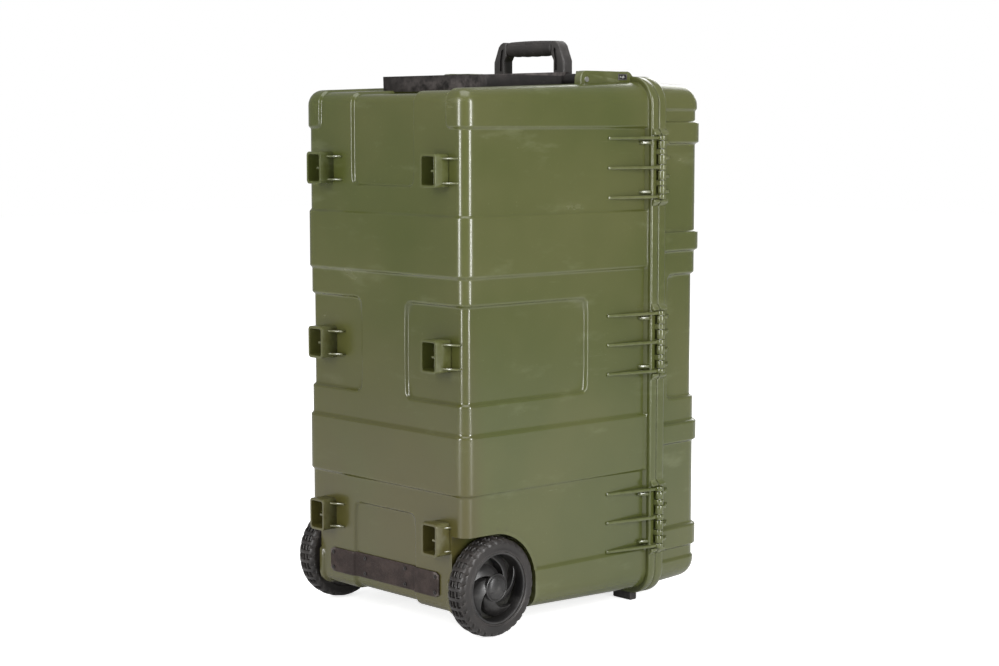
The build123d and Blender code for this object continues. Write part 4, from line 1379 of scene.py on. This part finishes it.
front, back = strip_face(STRIP_T - 0.1), strip_face(-0.3)
for grid, flip in ((front, False), (back, True)):
    for j in range(len(heights) - 1):
        for i in range(len(columns) - 1):
            quad = [grid[j][i], grid[j][i + 1], grid[j + 1][i + 1], grid[j + 1][i]]
            strip.faces.new(quad[::-1] if flip else quad)


def grid_border(grid):
    right = [row[-1] for row in grid[1:-1]]
    left = [row[0] for row in grid[1:-1]]
    return [*grid[0], *right, *grid[-1][::-1], *left[::-1]]


around_front, around_back = grid_border(front), grid_border(back)
for i in range(len(around_front)):
    k = (i + 1) % len(around_front)
    strip.faces.new((around_front[i], around_back[i], around_back[k], around_front[k]))
bmesh.ops.recalc_face_normals(strip, faces=strip.faces)
rim_edges = [e for e in strip.edges if e.calc_face_angle(0) > radians(50)]
bmesh.ops.bevel(
    strip, geom=rim_edges, offset=0.8 * MM, segments=2, profile=0.5, affect="EDGES",
    clamp_overlap=True,
)
bmesh.ops.dissolve_degenerate(strip, dist=0.00002, edges=strip.edges)
strip = mesh_object("rub_strip_sheet", strip)
place_piece(strip, "base", strip_black, "strip_black", "rub_strip")

screws = []
for x in (-122.0, -48.0, 48.0, 122.0):
    for z in (66.0, 90.5):
        seat = BASE_BOTTOM + (CHANNEL_IN if abs(x) < CHANNEL_HALF else 0.0) - STRIP_T
        head = prism("head", disc(3.2, 20, (x, z)), "y", seat - 1.4, seat + 1.0, bevel=0.55)
        socket = prism("socket", disc(1.4, 6, (x, z), start=0.3, end=0.3 + 2 * pi), "y",
                       seat - 3.0, seat - 0.5)
        screws.append(carve(head, socket))
screws = join("strip_screws", screws)
place_piece(screws, "base", black_oxide, "dark_screw", "rub_strip_screws")

# End feet: two small rubber blocks pressed on the end of the base's flange. With the two
# wheels they carry the standing case.
end_feet = []
foot_top = MIDDLE - (389.5 + DRAFT * 375.0) - 12.0
for side in (-1, 1):
    outline = [(131.0, foot_top + 1.0), (131.0, 1.6), (132.6, 0.0), (144.4, 0.0), (146.0, 1.6),
               (146.0, foot_top + 1.0)]
    foot = sideways("foot", outline, side, 132.0, 170.0, bevel=0.9)
    for step in range(5):
        x = side * (137.0 + 7.0 * step)
        groove = [(125.0, -1.0), (125.0, 1.3), (152.0, 1.3), (152.0, -1.0)]
        carve(foot, prism("groove", groove, "x", x - 1.0, x + 1.0))
    end_feet.append(foot)
end_feet = join("end_foot_blocks", end_feet)
place_piece(end_feet, "base", soft_black, "black_rubber", "end_feet")

# Latches: four draw latches on the side away from the hinges. A black lever turns on a pin
# in the lid's ears, and its claw hooks under the base's flange.
LEVER_AXIS, CLAW_AXIS = (-216.3, 153.0), (-220.3, 159.0)
LATCH_ZS = (137.0, 330.0, 524.0, 717.0)


def tube_z(name, centre, radius, bore, low, high, outline=None, bevel=0.5):
    """A prism along Z with a round bore in it."""
    body = prism(name, outline or disc(radius, 28, centre), "z", low, high)
    carve(body, prism("bore", disc(bore, 20, centre), "z", low - 2, high + 2))
    return soften(body, bevel, angle=50)


for number, zc in enumerate(LATCH_ZS, start=1):
    face = -225.0
    plate = [
        (face, 163.5), (face, 197.0), (face + 1.2, 200.6), (face + 4.0, 203.0),
        (face + 7.0, 203.0), (face + 4.4, 199.6), (face + 3.2, 196.6), (face + 3.0, 163.5),
    ]
    pieces = [prism("plate", plate, "z", zc - 24.0, zc + 24.0, bevel=0.8)]
    for shift in (-11.0, -5.5, 0.0, 5.5, 11.0):  # finger grooves are raised ribs here
        rib = [(face + 0.05, 178.0), (face + 0.05, 196.0), (face + 1.2, 196.6), (face + 1.2, 177.0)]
        pieces.append(prism("rib", rib, "z", zc + shift - 1.0, zc + shift + 1.0))
    for low in (-24.0, 20.0):
        hull = [
            (LEVER_AXIS[0] - 1.0, LEVER_AXIS[1] - 3.9), (LEVER_AXIS[0] + 2.8, LEVER_AXIS[1] - 2.8),
            (LEVER_AXIS[0] + 3.9, LEVER_AXIS[1] + 1.0), (-221.4, 181.0), (-224.6, 181.0),
            (-224.6, 163.0), (CLAW_AXIS[0] - 3.2, CLAW_AXIS[1] - 1.2),
            (CLAW_AXIS[0] - 1.6, CLAW_AXIS[1] - 3.2),
        ]
        cheek = prism("cheek", hull, "z", zc + low, zc + low + 4.0)
        bore = disc(2.05, 20, LEVER_AXIS)
        carve(cheek, prism("bore", bore, "z", zc + low - 2, zc + low + 6))
        pieces.append(soften(cheek, 0.5, angle=35))
    lever = join("latch_handle_%d" % number, pieces)
    place_piece(lever, "latch_lever_%d" % number, satin_black, "black_plastic",
                "latch_lever_%d" % number)

    hook = FLANGE_BACK - 0.4
    outer = CLAW_AXIS[0] - 1.5
    tip = 5.0 - FLANGE_X
    claw_line = [
        (outer, CLAW_AXIS[1]), (outer, hook - 3.0), (outer + 1.5, hook - 4.5), (tip, hook - 3.5),
        (tip, hook), (outer + 3.0, hook), (outer + 3.0, CLAW_AXIS[1]),
    ]
    claw = prism("claw", claw_line, "z", zc - 19.0, zc + 19.0)
    carve(claw, prism("barrel", disc(3.2, 24, CLAW_AXIS), "z", zc - 19.0, zc + 19.0), "UNION")
    carve(claw, prism("bore", disc(1.65, 20, CLAW_AXIS), "z", zc - 21.0, zc + 21.0))
    window = rounded_box(11.0, 18.0, 2.0, at=(142.5, zc))
    carve(claw, prism("window", window, "x", -235.0, outer + 1.6))
    claw = soften(claw, 0.45, angle=45)
    claw.name = "latch_hook_%d" % number
    place_piece(claw, "latch_claw_%d" % number, satin_black, "black_plastic",
                "latch_claw_%d" % number)

ears = []
for zc in LATCH_ZS:
    for low in (-28.6, 24.6):
        root = 3.0 - FLANGE_X
        line = [(root, 147.2), (LEVER_AXIS[0] - 1.0, LEVER_AXIS[1] - 4.4)]
        line += disc(4.5, 8, LEVER_AXIS, 1.25 * pi, 0.75 * pi)[1:-1]
        line += [(LEVER_AXIS[0] - 1.0, LEVER_AXIS[1] + 4.4), (root, 158.8)]
        ears.append(
            tube_z("ear", LEVER_AXIS, 4.5, 2.0, zc + low, zc + low + 4.0, outline=line)
        )
ears = join("latch_ears", ears)
place_piece(ears, "lid", olive, "shell_green", "lid_shell")

# Pressure valve: a round black body in the latch side's wall, with a knurled knob.
VALVE_X, VALVE_Y = 185.6 + DRAFT * 305.0, BASE_BOTTOM + 305.0


def valve_disc(radius, low, high, bevel, parts=48, lobes=0, depth=0.0):
    line = []
    for k in range(parts):
        angle = 2 * pi * k / parts
        r = radius - depth * (0.5 + 0.5 * cos(lobes * angle))
        line.append((VALVE_Y + r * cos(angle), MIDDLE + r * sin(angle)))
    return prism("valve", line, "x", -high, -low, bevel=bevel)


valve = join(
    "pressure_valve_knob",
    [
        valve_disc(14.0, VALVE_X - 4.0, VALVE_X + 2.6, 0.8),
        valve_disc(11.4, VALVE_X, VALVE_X + 6.5, 0.0, parts=144, lobes=18, depth=0.9),
        valve_disc(7.0, VALVE_X + 6.0, VALVE_X + 6.6, 0.25),
        valve_disc(7.9, VALVE_X - 9.0, VALVE_X, 0.4),
    ],
    smooth=30,
)
place_piece(valve, "base", satin_black, "black_plastic", "pressure_valve")

# Pins, axles, clips, bushes and the seal: standard parts that stay as the frame has them,
# with their edges eased. The pins are steel, the bushes nylon and the seal soft rubber.
nylon = finish(
    "natural_nylon",
    moulded,
    {
        "Colour": (0.60, 0.58, 0.52, 1), "Cloud Colour": (0.52, 0.49, 0.42, 1),
        "Scuff Colour": (0.3, 0.28, 0.25, 1), "Scuffs": 0.4,
    },
    {"Specular IOR Level": 0.5},
)
finishes = {"steel": steel, "black_rubber": soft_black, "bush_plastic": nylon}
slots = {row["node"]: row["material_slot"] for row in frame["record"]["subparts"]}
for name, part in frame["nodes"].items():
    if part.hide_render:
        continue
    part.data.materials.clear()
    part.data.materials.append(finishes[slots[name]])
    if name != "lid_gasket":
        part.modifiers.new("weld", "WELD").merge_threshold = 0.00001
        ease_edges = part.modifiers.new("ease", "BEVEL")
        ease_edges.width, ease_edges.segments = 0.0004, 2
        ease_edges.limit_method, ease_edges.angle_limit = "ANGLE", radians(50)
